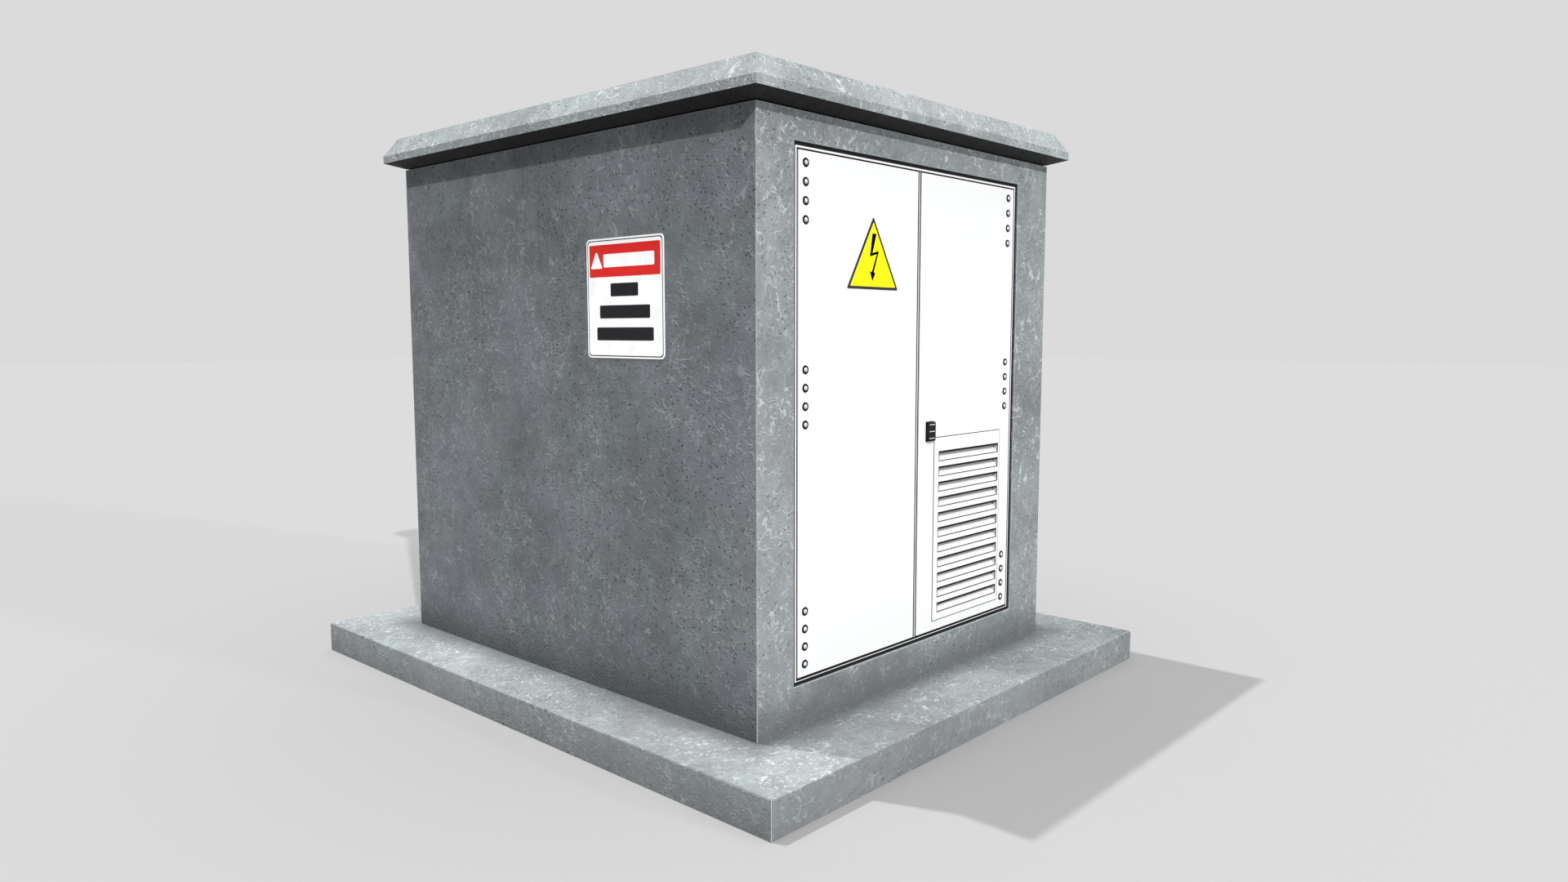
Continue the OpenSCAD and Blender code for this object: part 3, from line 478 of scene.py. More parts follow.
def powder_coat(name, tone, shine=0.38, dust=0.5):
    """Baked powder paint: faint orange peel, and a little dirt in patches and streaks."""
    finish = Finish(name, roughness=shine, specular=0.45)
    grime_and_shade = finish.noise(3.0, detail=7, rough=0.65)
    streak = finish.noise(9.0, detail=4, rough=0.6, stretch=(1.0, 1.0, 0.08))
    share = finish.sum(
        "MULTIPLY", finish.span(grime_and_shade, 0.48, 0.74), finish.span(streak, 0.40, 0.70)
    )
    share = finish.sum("MULTIPLY", share, dust * 0.30)
    finish.colour(finish.mix(share, tone, tinted(tone, 0.62)))
    finish.roughness(finish.span(grime_and_shade, 0.35, 0.70, shine, shine + 0.14))
    finish.relief(finish.noise(240.0, detail=2, rough=0.4), 0.00025)
    return finish.material


white_paint = powder_coat("white_paint", (0.610, 0.613, 0.617), dust=0.25)
eased("door_frame", 0.0012, white_paint)
eased("centre_post", 0.0010, white_paint)


def new_piece(name, mesh_maker, *materials, smooth_angle=None):
    """Makes a piece from what mesh_maker draws in an empty bmesh."""
    shape = bmesh.new()
    mesh_maker(shape)
    bmesh.ops.recalc_face_normals(shape, faces=shape.faces[:])
    mesh = bpy.data.meshes.new(name)
    shape.to_mesh(mesh)
    shape.free()
    for material in materials:
        mesh.materials.append(material)
    if smooth_angle:
        mesh.shade_smooth()
        mesh.set_sharp_from_angle(angle=math.radians(smooth_angle))
    piece = bpy.data.objects.new(name, mesh)
    scene.collection.objects.link(piece)
    return piece


frame_low, frame_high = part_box("door_frame")
bead_w = 0.0135
bead_proud = 0.0016
bead_set = 0.003
bead_clear = 0.0003
bead_facets = 6


def mastic_and_shade_bead(shape):
    """A mitred ring with a shallow crowned profile, over the frame's outer edge."""
    sweep = [math.pi * i / bead_facets for i in range(bead_facets + 1)]
    profile = [(bead_w * (1 - math.cos(a)) / 2, bead_proud * math.sin(a)) for a in sweep]
    profile += [(bead_w, -bead_set), (0.0, -bead_set)]
    rings = []
    for inset, proud in profile:
        y = frame_low[1] - bead_clear - proud
        x0, x1 = frame_low[0] + inset, frame_high[0] - inset
        z0, z1 = frame_low[2] + inset, frame_high[2] - inset
        corners = ((x0, z0), (x1, z0), (x1, z1), (x0, z1))
        rings.append([shape.verts.new((x, y, z)) for x, z in corners])
    for i in range(len(rings)):
        near, far = rings[i - 1], rings[i]
        for k in range(4):
            shape.faces.new((near[k - 1], near[k], far[k], far[k - 1]))


# The bead is partly a real joint and partly painted shade round the frame.
bead = new_piece("frame_mastic", mastic_and_shade_bead, seal_rubber)
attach(bead, "root")

# A black trim over the inner edge of the frame, and down each side of the strip of post that
# shows between the leaves, is painted shade: it draws the dark gaps round the leaves.
frame_face = 0.025
trim_w = 0.0036
post_trim_w = 0.0044
sill_trim_w = 0.0075
trim_proud = 0.0012
trim_deep = 0.006
post_low, post_high = -0.036, -0.020


def bar(shape, low, high, material=0):
    """A plain box between two opposite corners."""
    made = bmesh.ops.create_cube(shape, size=1.0)
    middle = (Vector(low) + Vector(high)) / 2
    size = Vector(high) - Vector(low)
    for vert in made["verts"]:
        vert.co = middle + Vector(a * b for a, b in zip(vert.co, size))
    for face in {face for vert in made["verts"] for face in vert.link_faces}:
        face.material_index = material


def gap_shade_trim(shape):
    x0, x1 = frame_low[0] + frame_face, frame_high[0] - frame_face
    z0, z1 = frame_low[2] + frame_face, frame_high[2] - frame_face
    front, back = frame_low[1] - trim_proud, frame_low[1] + trim_deep
    bar(shape, (x0 - trim_w, front, z0 - sill_trim_w), (x0, back, z1 + trim_w))
    bar(shape, (x1, front, z0 - sill_trim_w), (x1 + trim_w, back, z1 + trim_w))
    bar(shape, (x0, front, z1), (x1, back, z1 + trim_w))
    bar(shape, (x0, front, z0 - sill_trim_w), (x1, back, z0))
    bar(shape, (post_low, front, z0), (post_low + post_trim_w, back, z1))
    bar(shape, (post_high - post_trim_w, front, z0), (post_high, back, z1))


trim = new_piece("frame_trim", gap_shade_trim, seal_rubber)
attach(trim, "root")


# ---------------------------------------------------------------- hinges
# Cranked steel ears on the frame reach behind each leaf and hold the hinge pins. The leaf's
# straps turn on the pins, hidden from outside.

eased("hinge_brackets", 0.0010, white_paint)
eased("hinge_pins", 0.0006, zinc_steel)


# ---------------------------------------------------------------- door leaves
# Two folded sheet-steel pans with top-hat ribs, hinge straps and a foam seal on the return
# flange, powder coated white inside and out like their frame.

for side in ("left", "right"):
    eased(f"{side}_door_pan", 0.0011, white_paint)
    eased(f"{side}_door_ribs", 0.0008, white_paint)
    eased(f"{side}_hinge_straps", 0.0008, white_paint)
    keep(f"{side}_door_seal", seal_rubber)


# ---------------------------------------------------------------- hinge bolts
# Domed coach bolts hold each strap, four to a hinge, with a plain nut behind. Each dome is a
# greyer white than the leaf, painted shade on the dome, and sits on a washer whose black is
# painted shade round the dome's rim.

hinge_heights = (0.4815, 1.399, 2.154)
bolt_steps = (-0.1029, -0.0343, 0.0343, 0.1029)
bolt_columns = (("left", -0.7465), ("right", 0.6755))
nut_set_back = 0.006
washer_r = 0.017
dome_r = 0.0092
dome_h = 0.0052
washer_h = 0.0024


def turned(name, outline, steps=20):
    """A solid turned about Z from (radius, height) pairs that start and end on the axis."""

    def draw(shape):
        rings = []
        for radius, height in outline:
            if radius < 1e-7:
                rings.append([shape.verts.new((0, 0, height))])
                continue
            rings.append(
                [
                    shape.verts.new(
                        (
                            radius * math.cos(2 * math.pi * i / steps),
                            radius * math.sin(2 * math.pi * i / steps),
                            height,
                        )
                    )
                    for i in range(steps)
                ]
            )
        for low, high in zip(rings, rings[1:]):
            for i in range(steps):
                corners = [low[i % len(low)], low[(i + 1) % len(low)]]
                corners += [high[(i + 1) % len(high)], high[i % len(high)]]
                corners = list(dict.fromkeys(corners))
                if len(corners) > 2:
                    shape.faces.new(corners)

    return new_piece(name, draw, smooth_angle=35)


def setting_out():
    """Puts a copy of Piece at each point of the carrier, turned by Turn, in one Finish."""
    tree = bpy.data.node_groups.new("setting_out", "GeometryNodeTree")
    face = tree.interface
    face.new_socket("Geometry", in_out="INPUT", socket_type="NodeSocketGeometry")
    face.new_socket("Piece", in_out="INPUT", socket_type="NodeSocketObject")
    face.new_socket("Turn", in_out="INPUT", socket_type="NodeSocketRotation")
    face.new_socket("Finish", in_out="INPUT", socket_type="NodeSocketMaterial")
    face.new_socket("Geometry", in_out="OUTPUT", socket_type="NodeSocketGeometry")
    wanted = tree.nodes.new("NodeGroupInput")
    made = tree.nodes.new("NodeGroupOutput")
    fetch = tree.nodes.new("GeometryNodeObjectInfo")
    fetch.transform_space = "ORIGINAL"
    place = tree.nodes.new("GeometryNodeInstanceOnPoints")
    solid = tree.nodes.new("GeometryNodeRealizeInstances")
    paint = tree.nodes.new("GeometryNodeSetMaterial")
    join = tree.links.new
    join(wanted.outputs["Piece"], fetch.inputs["Object"])
    join(wanted.outputs["Geometry"], place.inputs["Points"])
    join(fetch.outputs["Geometry"], place.inputs["Instance"])
    join(wanted.outputs["Turn"], place.inputs["Rotation"])
    join(place.outputs["Instances"], solid.inputs["Geometry"])
    join(solid.outputs["Geometry"], paint.inputs["Geometry"])
    join(wanted.outputs["Finish"], paint.inputs["Material"])
    join(paint.outputs["Geometry"], made.inputs["Geometry"])
    return tree


setting_out_tree = setting_out()


def plain_copy(carrier, name):
    """Turns what a carrier's modifiers make into a plain mesh piece, and drops the carrier."""
    graph = bpy.context.evaluated_depsgraph_get()
    mesh = bpy.data.meshes.new_from_object(carrier.evaluated_get(graph))
    piece = bpy.data.objects.new(name, mesh)
    scene.collection.objects.link(piece)
    bpy.data.objects.remove(carrier)
    return piece


def set_out(name, pattern, points, finish, turn=(0, 0, 0)):
    """Repeats the pattern piece at points, as one plain mesh."""
    mesh = bpy.data.meshes.new(name + "_points")
    mesh.from_pydata([tuple(p) for p in points], [], [])
    carrier = bpy.data.objects.new(name + "_points", mesh)
    scene.collection.objects.link(carrier)
    layout = carrier.modifiers.new("setting_out", "NODES")
    layout.node_group = setting_out_tree
    values = {"Piece": pattern, "Finish": finish}
    values["Turn"] = Euler([math.radians(a) for a in turn])
    for socket in setting_out_tree.interface.items_tree:
        if socket.in_out == "INPUT" and socket.name in values:
            layout[socket.identifier] = values[socket.name]
    return plain_copy(carrier, name)


def joined(name, *parts):
    """One piece from several, each keeping its own finish."""
    with bpy.context.temp_override(
        active_object=parts[0], selected_editable_objects=list(parts), object=parts[0]
    ):
        bpy.ops.object.join()
    parts[0].name = name
    return parts[0]


def arc(radius, height, steps=6):
    """Points of a shallow dome from its rim to its crown, and the height of that rim."""
    ball = (radius**2 + height**2) / (2 * height)
    sweep = math.asin(radius / ball)
    turns = [sweep * (1 - i / steps) for i in range(steps + 1)]
    return [(ball * math.sin(a), ball * math.cos(a)) for a in turns], ball - height


dome_line, dome_drop = arc(dome_r, dome_h)
dome_outline = [(0, washer_h - 0.001), (dome_r, washer_h - 0.001)]
dome_outline += [(r, h - dome_drop + washer_h) for r, h in dome_line]
dome = turned("dome", dome_outline)
washer = turned(
    "washer",
    [
        (0, -0.0005),
        (washer_r - 0.0006, -0.0005),
        (washer_r, 0.0),
        (washer_r - 0.0008, washer_h),
        (0, washer_h),
    ],
)
nut_r = 0.0105
nut_rim = nut_r * 0.94
nut_h = 0.008
nut = turned(
    "nut",
    [(0, 0), (nut_rim, 0), (nut_r, 0.0008), (nut_r, nut_h - 0.0008), (nut_rim, nut_h), (0, nut_h)],
    steps=6,
)

# Painted shade: the domes are a greyer white than the leaf. The same grey makes the latch's painted
# highlights.
bolt_paint = powder_coat("bolt_paint", (0.46, 0.465, 0.475), shine=0.25, dust=0.8)
# Painted shade: the washers are near-black to draw the dark rim round each dome.
washer_shade_black = cellular_rubber("washer_shade_black", 0.003)
leaf_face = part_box("left_door_pan")[0][1]
for side, x in bolt_columns:
    spots = [(x, leaf_face, z + step) for z in hinge_heights for step in bolt_steps]
    backs = [(x, leaf_face + nut_set_back, z) for x, _, z in spots]
    bolts = joined(
        f"{side}_bolt_heads",
        set_out("domes", dome, spots, bolt_paint, turn=(90, 0, 0)),
        set_out("washers", washer, spots, washer_shade_black, turn=(90, 0, 0)),
        set_out("nuts", nut, backs, zinc_steel, turn=(-90, 0, 0)),
    )
    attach(bolts, f"{side}_door")
    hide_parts(f"{side}_hinge_bolts")
for pattern in (dome, washer, nut):
    bpy.data.objects.remove(pattern)


# ---------------------------------------------------------------- hazard plate
# A three-cornered enamelled plate, yellow with a black edge line and a plain bolt-shaped mark,
# glued to the left leaf at head height.


def enamel(name, tone, shine=0.3):
    finish = Finish(name, roughness=shine, specular=0.4)
    fade = finish.noise(6.0, detail=5, rough=0.6)
    finish.colour(finish.mix(finish.span(fade, 0.40, 0.75), tone, tinted(tone, 0.93)))
    finish.relief(finish.noise(200.0, detail=2), 0.0002)
    return finish.material


def outline_slab(shape, outline, y_front, y_back, material=0):
    """A flat plate in the XZ plane from a closed outline of (x, z) points."""
    front = [shape.verts.new((x, y_front, z)) for x, z in outline]
    back = [shape.verts.new((x, y_back, z)) for x, z in outline]
    faces = [shape.faces.new(front), shape.faces.new(back[::-1])]
    for i in range(len(outline)):
        faces.append(shape.faces.new((front[i - 1], back[i - 1], back[i], front[i])))
    for face in faces:
        face.material_index = material


def rounded(corners, radius, steps=6):
    """A closed outline with each of its corners rounded to radius."""
    outline = []
    count = len(corners)
    for i in range(count):
        here = Vector(corners[i])
        before = (Vector(corners[i - 1]) - here).normalized()
        after = (Vector(corners[(i + 1) % count]) - here).normalized()
        half = before.angle(after) / 2
        centre = here + (before + after).normalized() * radius / math.sin(half)
        start = here + before * radius / math.tan(half) - centre
        end = here + after * radius / math.tan(half) - centre
        for k in range(steps + 1):
            spoke = start.lerp(end, k / steps).normalized() * radius
            outline.append(tuple(centre + spoke))
    return outline


hazard_low, hazard_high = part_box("hazard_plate")
hazard_mid = (hazard_low[0] + hazard_high[0]) / 2
hazard_side = 0.326
hazard_round = 0.004
edge_line = 0.0105
edge_round = 0.002
print_step = 0.0004
hazard_rise = hazard_side * math.sqrt(3) / 2
hazard_front = hazard_low[1]
hazard_corners = [
    (hazard_mid - hazard_side / 2, hazard_low[2]),
    (hazard_mid + hazard_side / 2, hazard_low[2]),
    (hazard_mid, hazard_low[2] + hazard_rise),
]


def shrunk(corners, inset):
    """A triangle drawn in by the same distance on every side."""
    middle = sum((Vector(c) for c in corners), Vector((0, 0))) / 3
    inner_radius = hazard_rise / 3
    return [tuple(middle + (Vector(c) - middle) * (1 - inset / inner_radius)) for c in corners]


bolt_mark = [
    (0.019, 0.2185),
    (-0.008, 0.2185),
    (-0.023, 0.1265),
    (0.020, 0.138),
    (-0.010, 0.068),
    (-0.023, 0.071),
    (-0.006, 0.030),
    (0.014, 0.065),
    (0.003, 0.066),
    (0.036, 0.153),
    (-0.005, 0.142),
]


def hazard_art(shape):
    """The black plate, the yellow field inside its edge line and the mark printed on it."""
    edge = rounded(hazard_corners, hazard_round)
    outline_slab(shape, edge, hazard_front + print_step, leaf_face, 1)
    field = rounded(shrunk(hazard_corners, edge_line), edge_round)
    outline_slab(shape, field, hazard_front, leaf_face - 0.001)
    mark = [(hazard_mid + x, hazard_low[2] + z) for x, z in bolt_mark]
    outline_slab(shape, mark, hazard_front, hazard_front + 0.001, 2)


hazard_yellow = enamel("hazard_yellow", (0.88, 0.87, 0.0))
hazard_black = enamel("hazard_black", (0.02, 0.018, 0.022), shine=0.4)
hazard = new_piece("hazard_sign", hazard_art, hazard_yellow, hazard_black, hazard_black)
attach(hazard, "left_door")
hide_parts("hazard_plate")


# ---------------------------------------------------------------- shoot bolts
# Round steel bolts with a thumb knob, one up and one down, that hold the left leaf to its frame
# from inside. They run in eyes welded to the leaf.

for name in ("left_top_bolt", "left_bottom_bolt"):
    eased(name, 0.0006, zinc_steel)


# ---------------------------------------------------------------- air inlet
# A louvred panel over a cut-out in the right leaf: eleven slots, each with a sloping blade behind.
# A dark bead round each slot and a dark line round the panel are painted shade, and a dark strip
# along the top of each slot is a painted shadow. A woven steel screen keeps insects out.

eased("inlet_panel", 0.0005, white_paint, segments=1)
eased("inlet_blades", 0.0004, white_paint, segments=1)

panel_low, panel_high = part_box("inlet_panel")
panel_face = panel_low[1]
slot_left, slot_right = 0.1385, 0.621
slot_top, slot_h, slot_pitch, slot_count = 1.1215, 0.038, 0.0674, 11
bead_line = 0.0030
lip_h = 0.0050
bead_raise = 0.0007
bead_root = 0.001
panel_bead_line = 0.0035
panel_bead_lap = 0.0005


def ring(shape, low, high, line, front, back):
    """Four bars round the outside of a rectangle given by two (x, z) corners."""
    (x0, z0), (x1, z1) = low, high
    bar(shape, (x0 - line, front, z0 - line), (x0, back, z1 + line))
    bar(shape, (x1, front, z0 - line), (x1 + line, back, z1 + line))
    bar(shape, (x0, front, z0 - line), (x1, back, z0))
    bar(shape, (x0, front, z1), (x1, back, z1 + line))


def one_slot_shade(shape):
    """The dark bead round one slot, painted shade, and the dark strip in its top, a painted shadow,
    about its lower left corner.
    """
    long = slot_right - slot_left
    ring(shape, (0, 0), (long, slot_h), bead_line, -bead_raise, bead_root)
    bar(shape, (0, -bead_raise, slot_h - lip_h), (long, bead_root, slot_h))


# Painted shade: a dark line round the panel's edge.
def panel_bead(shape):
    low = (panel_low[0] + panel_bead_lap, panel_low[2] + panel_bead_lap)
    high = (panel_high[0] - panel_bead_lap, panel_high[2] - panel_bead_lap)
    ring(shape, low, high, panel_bead_line, leaf_face - 0.0012, leaf_face + 0.0004)


slot_bead = new_piece("slot_bead", one_slot_shade)
slot_spots = [
    (slot_left, panel_face, slot_top - slot_h - i * slot_pitch) for i in range(slot_count)
]
beads = joined(
    "inlet_beads",
    set_out("slot_beads", slot_bead, slot_spots, seal_rubber),
    new_piece("panel_bead", panel_bead, seal_rubber),
)
bpy.data.objects.remove(slot_bead)
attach(beads, "right_door")

screen_low, screen_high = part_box("insect_screen")
screen_pitch = 0.0075
wire_r = 0.0004


def wire_screen():
    """Wires at Pitch across a panel of Width and Height, as square bars of Wire thickness."""
    tree = bpy.data.node_groups.new("wire_screen", "GeometryNodeTree")
    face = tree.interface
    face.new_socket("Geometry", in_out="INPUT", socket_type="NodeSocketGeometry")
    for name in ("Width", "Height", "Pitch", "Wire"):
        face.new_socket(name, in_out="INPUT", socket_type="NodeSocketFloat")
    face.new_socket("Finish", in_out="INPUT", socket_type="NodeSocketMaterial")
    face.new_socket("Geometry", in_out="OUTPUT", socket_type="NodeSocketGeometry")
    wanted = tree.nodes.new("NodeGroupInput")
    made = tree.nodes.new("NodeGroupOutput")
    join = tree.links.new
    both = tree.nodes.new("GeometryNodeJoinGeometry")
    for along, across, layer in (("Width", "Height", 1), ("Height", "Width", -1)):
        count = tree.nodes.new("ShaderNodeMath")
        count.operation = "DIVIDE"
        join(wanted.outputs[across], count.inputs[0])
        join(wanted.outputs["Pitch"], count.inputs[1])
        row = tree.nodes.new("GeometryNodeMeshLine")
        row.count_mode = "TOTAL"
        join(count.outputs[0], row.inputs["Count"])
        step = tree.nodes.new("ShaderNodeCombineXYZ")
        join(wanted.outputs["Pitch"], step.inputs["Z" if along == "Width" else "X"])
        join(step.outputs[0], row.inputs["Offset"])
        size = tree.nodes.new("ShaderNodeCombineXYZ")
        join(wanted.outputs[along], size.inputs["X" if along == "Width" else "Z"])
        join(wanted.outputs["Wire"], size.inputs["Y"])
        join(wanted.outputs["Wire"], size.inputs["Z" if along == "Width" else "X"])
        wire = tree.nodes.new("GeometryNodeMeshCube")
        join(size.outputs[0], wire.inputs["Size"])
        shift = tree.nodes.new("GeometryNodeTransform")
        join(wire.outputs["Mesh"], shift.inputs["Geometry"])
        half = tree.nodes.new("ShaderNodeVectorMath")
        half.operation = "MULTIPLY"
        join(size.outputs[0], half.inputs[0])
        sides = (0.5, 0.5 * layer, 0.0) if along == "Width" else (0.0, 0.5 * layer, 0.5)
        half.inputs[1].default_value = sides
        join(half.outputs[0], shift.inputs["Translation"])
        place = tree.nodes.new("GeometryNodeInstanceOnPoints")
        join(row.outputs["Mesh"], place.inputs["Points"])
        join(shift.outputs["Geometry"], place.inputs["Instance"])
        join(place.outputs["Instances"], both.inputs["Geometry"])
    solid = tree.nodes.new("GeometryNodeRealizeInstances")
    paint = tree.nodes.new("GeometryNodeSetMaterial")
    join(both.outputs["Geometry"], solid.inputs["Geometry"])
    join(solid.outputs["Geometry"], paint.inputs["Geometry"])
    join(wanted.outputs["Finish"], paint.inputs["Material"])
    join(paint.outputs["Geometry"], made.inputs["Geometry"])
    return tree


screen_tree = wire_screen()
screen_mesh = bpy.data.meshes.new("screen_carrier")
screen_carrier = bpy.data.objects.new("screen_carrier", screen_mesh)
scene.collection.objects.link(screen_carrier)
weave = screen_carrier.modifiers.new("weave", "NODES")
weave.node_group = screen_tree
screen_sizes = {
    "Width": screen_high[0] - screen_low[0],
    "Height": screen_high[2] - screen_low[2],
    "Pitch": screen_pitch,
    "Wire": 2 * wire_r,
    "Finish": zinc_steel,
}
for socket in screen_tree.interface.items_tree:
    if socket.in_out == "INPUT" and socket.name in screen_sizes:
        weave[socket.identifier] = screen_sizes[socket.name]
screen = plain_copy(screen_carrier, "wire_screen")
screen.data.transform(
    Matrix.Translation((screen_low[0], (screen_low[1] + screen_high[1]) / 2, screen_low[2]))
)
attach(screen, "right_door")
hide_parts("insect_screen")


# ---------------------------------------------------------------- latch
# A quarter-turn grip of die-cast alloy with a black coat on a matching back plate, with three
# pale strips on its face that are painted highlights. Its spindle carries the cam that goes behind
# the centre post.


def moulded(name, tone, shine=0.42, specular=0.5):
    finish = Finish(name, roughness=shine, specular=specular)
    flow = finish.noise(30.0, detail=5, rough=0.6)
    finish.colour(finish.mix(finish.span(flow, 0.4, 0.7), tone, tinted(tone, 1.5)))
    finish.relief(finish.noise(900.0, detail=2), 0.00012)
    return finish.material


latch_black = moulded("latch_black", (0.008, 0.008, 0.009), specular=0.12)
eased("latch_plate", 0.0008, latch_black)
eased("latch_handle", 0.0022, latch_black, segments=3)
for name in ("right_top_rod", "right_bottom_rod"):
    keep(name, zinc_steel)

grip_low, grip_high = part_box("latch_handle")
grip_mid = (grip_low[0] + grip_high[0]) / 2
grip_front = grip_low[1]
grip_top = grip_high[2]
strip_w = 0.0405
strip_h = 0.0034
strip_drops = (0.0085, 0.038, 0.0675)
strip_proud = 0.0004
strip_round = 0.0005


# The strips are painted highlights on the black grip.
def highlight_strips(shape):
    for drop in strip_drops:
        z = grip_top - drop
        x0, x1 = grip_mid - strip_w / 2, grip_mid + strip_w / 2
        corners = [(x0, z - strip_h), (x1, z - strip_h), (x1, z), (x0, z)]
        line = rounded(corners, strip_round, 2)
        outline_slab(shape, line, grip_front - strip_proud, grip_front + 0.001)


strips = new_piece("latch_strips", highlight_strips, bolt_paint)
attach(strips, "latch")


# ---------------------------------------------------------------- side sign
# A white plastic plate with round corners on the left wall: a red band with a pale bar and a
# pale triangle in it, over three plain dark bars, with a fine dark line round them all.

sign_low, sign_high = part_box("side_sign")
sign_mid_y = (sign_low[1] + sign_high[1]) / 2
sign_mid_z = (sign_low[2] + sign_high[2]) / 2
sign_face = sign_low[0]
sign_back = sign_high[0]
sign_w = sign_high[1] - sign_low[1]
sign_h = sign_high[2] - sign_low[2]
layer = 0.0003
band_w, band_h = 0.436, 0.128
band_drop = 0.025
bar_h = 0.052
bar_round = 0.006
band_bar_shift, band_bar_w = -0.028, 0.31
triangle_shift = 0.172
triangle = ((-0.038, -0.03), (0.038, -0.03), (0, 0.04))
dark_bars = ((0.205, 0.17), (0.292, 0.31), (0.380, 0.35))


def flat_shape(shape, outline, front, back, material):
    """A flat plate on the wall from a closed outline of (y, z) points."""
    near = [shape.verts.new((front, y, z)) for y, z in outline]
    far = [shape.verts.new((back, y, z)) for y, z in outline]
    faces = [shape.faces.new(near), shape.faces.new(far[::-1])]
    for i in range(len(outline)):
        faces.append(shape.faces.new((near[i - 1], far[i - 1], far[i], near[i])))
    for face in faces:
        face.material_index = material


def sign_panel(shape, centre, size, radius, front, back, material):
    """A rounded panel of the sign. centre and size run along Y and Z, seen from the left."""
    y0, y1 = centre[0] - size[0] / 2, centre[0] + size[0] / 2
    z0, z1 = centre[1] - size[1] / 2, centre[1] + size[1] / 2
    outline = rounded([(y0, z0), (y1, z0), (y1, z1), (y0, z1)], radius)
    flat_shape(shape, outline, front, back, material)


def sign_art(shape):
    top = sign_high[2]
    middle = (sign_mid_y, sign_mid_z)
    face = sign_face + 3 * layer
    sign_panel(shape, middle, (sign_w, sign_h), 0.020, face, sign_back, 0)
    for edge, step, material in ((0.0070, 1, 3), (0.0110, 2, 0)):
        inner = (sign_w - 2 * edge, sign_h - 2 * edge)
        sign_panel(shape, middle, inner, 0.015, face - step * layer, sign_back - 0.001, material)
    band_z = top - band_drop - band_h / 2
    face -= 2 * layer
    sign_panel(shape, (sign_mid_y, band_z), (band_w, band_h), bar_round, sign_face, face, 1)
    raised = sign_face - layer
    bar_middle = (sign_mid_y + band_bar_shift, band_z)
    sign_panel(shape, bar_middle, (band_bar_w, bar_h), bar_round, raised, face, 0)
    corners = [(sign_mid_y + triangle_shift + dy, band_z + dz) for dy, dz in triangle]
    flat_shape(shape, rounded(corners, 0.005), raised, face, 0)
    for drop, length in dark_bars:
        middle = (sign_mid_y, top - drop)
        sign_panel(shape, middle, (length, bar_h), bar_round, sign_face, face, 2)


def printed(name, tone, shine=0.32):
    finish = Finish(name, roughness=shine, specular=0.2)
    chalk = finish.noise(12.0, detail=6, rough=0.65)
    finish.colour(finish.mix(finish.span(chalk, 0.45, 0.75), tone, tinted(tone, 0.90)))
    finish.roughness(finish.span(chalk, 0.4, 0.7, shine, shine + 0.15))
    finish.relief(finish.noise(180.0, detail=2), 0.0002)
    return finish.material


sign = new_piece(
    "wall_sign",
    sign_art,
    printed("sign_white", (0.93, 0.93, 0.93)),
    printed("sign_red", (0.68, 0.022, 0.018)),
    printed("sign_dark", (0.014, 0.014, 0.017)),
    printed("sign_edge", (0.03, 0.03, 0.033)),
)
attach(sign, "root")
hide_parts("side_sign")


# ---------------------------------------------------------------- transformer
# A welded tank of dull green steel on two skid channels, with a bolted cover on a gasket and
# flat cooling fins behind and at the sides. Its front plate faces the doors.

tank_green = powder_coat("tank_green", (0.085, 0.135, 0.10), shine=0.45, dust=1.6)
barrier_grey = powder_coat("barrier_grey", (0.42, 0.45, 0.43), shine=0.5, dust=0.9)
for name in ("transformer_tank", "tank_cover", "rear_fins", "side_fins", "skid_base"):
    eased(name, 0.0018, tank_green)
keep("cover_gasket", seal_rubber)
eased("cover_bolts", 0.0008, zinc_steel)
eased("compartment_barrier", 0.0006, barrier_grey)


# ---------------------------------------------------------------- core and windings
# Inside the closed tank: three limbs of stacked steel strip between clamped yokes, each with a
# foil winding and a wire winding over it.


def stacked_strip(name):
    finish = Finish(name, roughness=0.45, metallic=0.9)
    leaves = finish.noise(260.0, detail=2, stretch=(0.02, 1.0, 0.02))
    finish.colour(
        finish.mix(finish.span(leaves, 0.35, 0.65), (0.16, 0.17, 0.19), (0.34, 0.35, 0.37))
    )
    finish.relief(leaves, 0.0006)
    return finish.material


def wound(name, tone, pitch):
    """Windings: fine level turns of varnished conductor, pitch turns to the metre."""
    finish = Finish(name, roughness=0.32, metallic=0.6)
    turns = finish.noise(pitch, detail=1, stretch=(0.01, 0.01, 1.0))
    finish.colour(finish.mix(finish.span(turns, 0.4, 0.6), tinted(tone, 0.6), tone))
    finish.relief(turns, 0.0012)
    return finish.material


keep("core", stacked_strip("core_steel"))
keep("core_clamps", powder_coat("clamp_paint", (0.22, 0.09, 0.03), shine=0.55))
keep("lv_coils", wound("winding_foil", (0.62, 0.33, 0.14), 120.0))
keep("hv_coils", wound("winding_wire", (0.42, 0.15, 0.05), 320.0))


# ---------------------------------------------------------------- bushings
# High-voltage wells with moulded caps on the left, brown porcelain bushings with tinned
# four-hole spades on the right, all clamped to the front plate.

cap_red = moulded("cap_red", (0.19, 0.022, 0.015), shine=0.5)
eased("hv_bushings", 0.0020, cap_red)


def glazed(name, tone):
    finish = Finish(name, roughness=0.12, specular=0.6)
    run = finish.noise(18.0, detail=4, stretch=(1.0, 1.0, 0.5))
    finish.colour(finish.mix(finish.span(run, 0.35, 0.7), tone, tinted(tone, 1.7)))
    finish.relief(finish.noise(70.0, detail=2), 0.0003)
    return finish.material


porcelain = glazed("bushing_brown", (0.13, 0.035, 0.014))
eased("lv_bushings", 0.0012, porcelain)


# ---------------------------------------------------------------- fuses and hand controls
# Three draw-out fuses in black housings, a red switch handle and a yellow tap-changer handle,
# all worked from the left compartment.

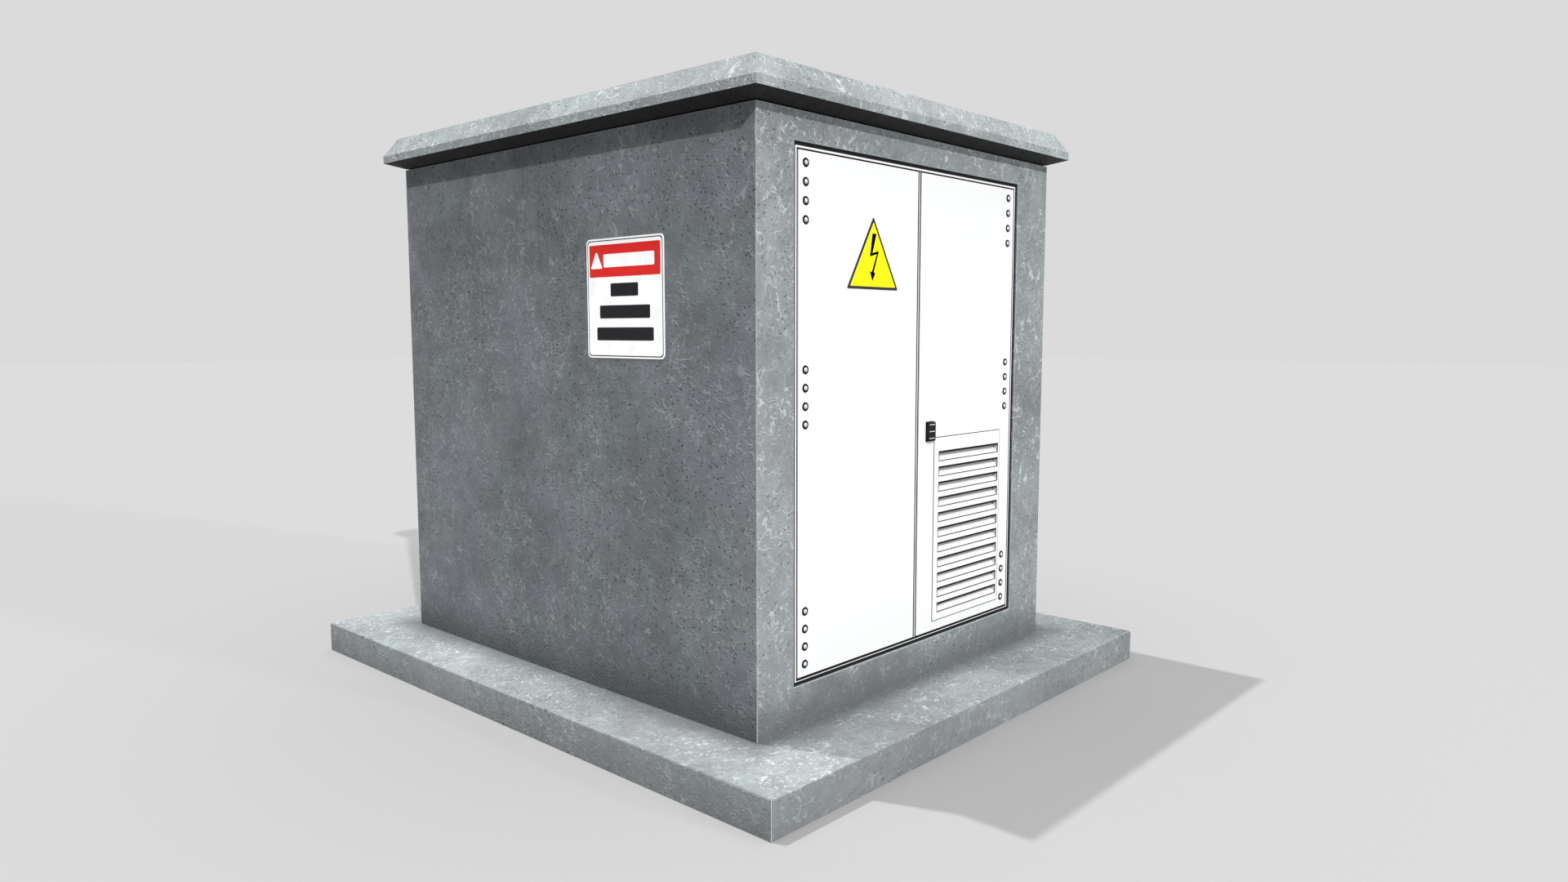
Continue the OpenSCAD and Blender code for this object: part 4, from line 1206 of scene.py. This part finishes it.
eased("fuse_housings", 0.0012, moulded("fuse_black", (0.018, 0.018, 0.02)))
fuse_amber = moulded("fuse_amber", (0.46, 0.24, 0.03), shine=0.3)
for name in ("fuse_holder_1", "fuse_holder_2", "fuse_holder_3"):
    eased(name, 0.0014, fuse_amber)
handle_red = enamel("handle_red", (0.50, 0.025, 0.015))
eased("switch_handle", 0.0014, handle_red)
eased("tap_handle", 0.0014, enamel("handle_yellow", (0.68, 0.48, 0.03)))


# ---------------------------------------------------------------- gauge and valves
# A dial level gauge with a red pointer, a spring relief valve, and at the foot of the tank a
# brass drain valve with a red handwheel.


def turned_metal(name, tone, metallic=1.0):
    finish = Finish(name, roughness=0.35, metallic=metallic)
    lathe = finish.noise(300.0, detail=2, stretch=(1.0, 0.1, 1.0))
    stain = finish.noise(14.0, detail=5, rough=0.6)
    colour = finish.mix(finish.span(stain, 0.45, 0.72), tone, tinted(tone, 0.6))
    finish.colour(colour)
    finish.roughness(finish.span(stain, 0.35, 0.7, 0.28, 0.5))
    finish.relief(lathe, 0.0002)
    return finish.material


eased("level_gauge", 0.0010, turned_metal("gauge_body", (0.78, 0.79, 0.80)))
keep("gauge_pointer", handle_red)
valve_brass = turned_metal("valve_brass", (0.62, 0.44, 0.16))
eased("relief_valve", 0.0010, valve_brass)
eased("drain_valve", 0.0012, valve_brass)
eased("drain_handwheel", 0.0010, handle_red)

gauge_low, gauge_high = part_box("level_gauge")
gauge_centre = ((gauge_low[0] + gauge_high[0]) / 2, (gauge_low[2] + gauge_high[2]) / 2)
dial_y = gauge_low[1] + 0.0098
card_r = 0.0485
mark_inner, mark_outer = 0.039, 0.046
mark_half = 0.0009


def gauge_marks(shape):
    """A white dial card with eleven dark division marks."""
    turns = [2 * math.pi * i / 48 for i in range(48)]
    card = [
        (gauge_centre[0] + card_r * math.cos(a), gauge_centre[1] + card_r * math.sin(a))
        for a in turns
    ]
    outline_slab(shape, card, dial_y, dial_y + 0.0004)
    for i in range(11):
        angle = math.radians(150 - 12 * i)
        spoke = Vector((math.cos(angle), math.sin(angle)))
        side = Vector((-spoke.y, spoke.x)) * mark_half
        centre = Vector(gauge_centre)
        inner, outer = centre + spoke * mark_inner, centre + spoke * mark_outer
        mark = [tuple(p) for p in (inner - side, outer - side, outer + side, inner + side)]
        outline_slab(shape, mark, dial_y - 0.0002, dial_y + 0.0002, 1)


dial = new_piece(
    "gauge_dial", gauge_marks, printed("dial_white", (0.85, 0.85, 0.83)), hazard_black
)
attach(dial, "root")
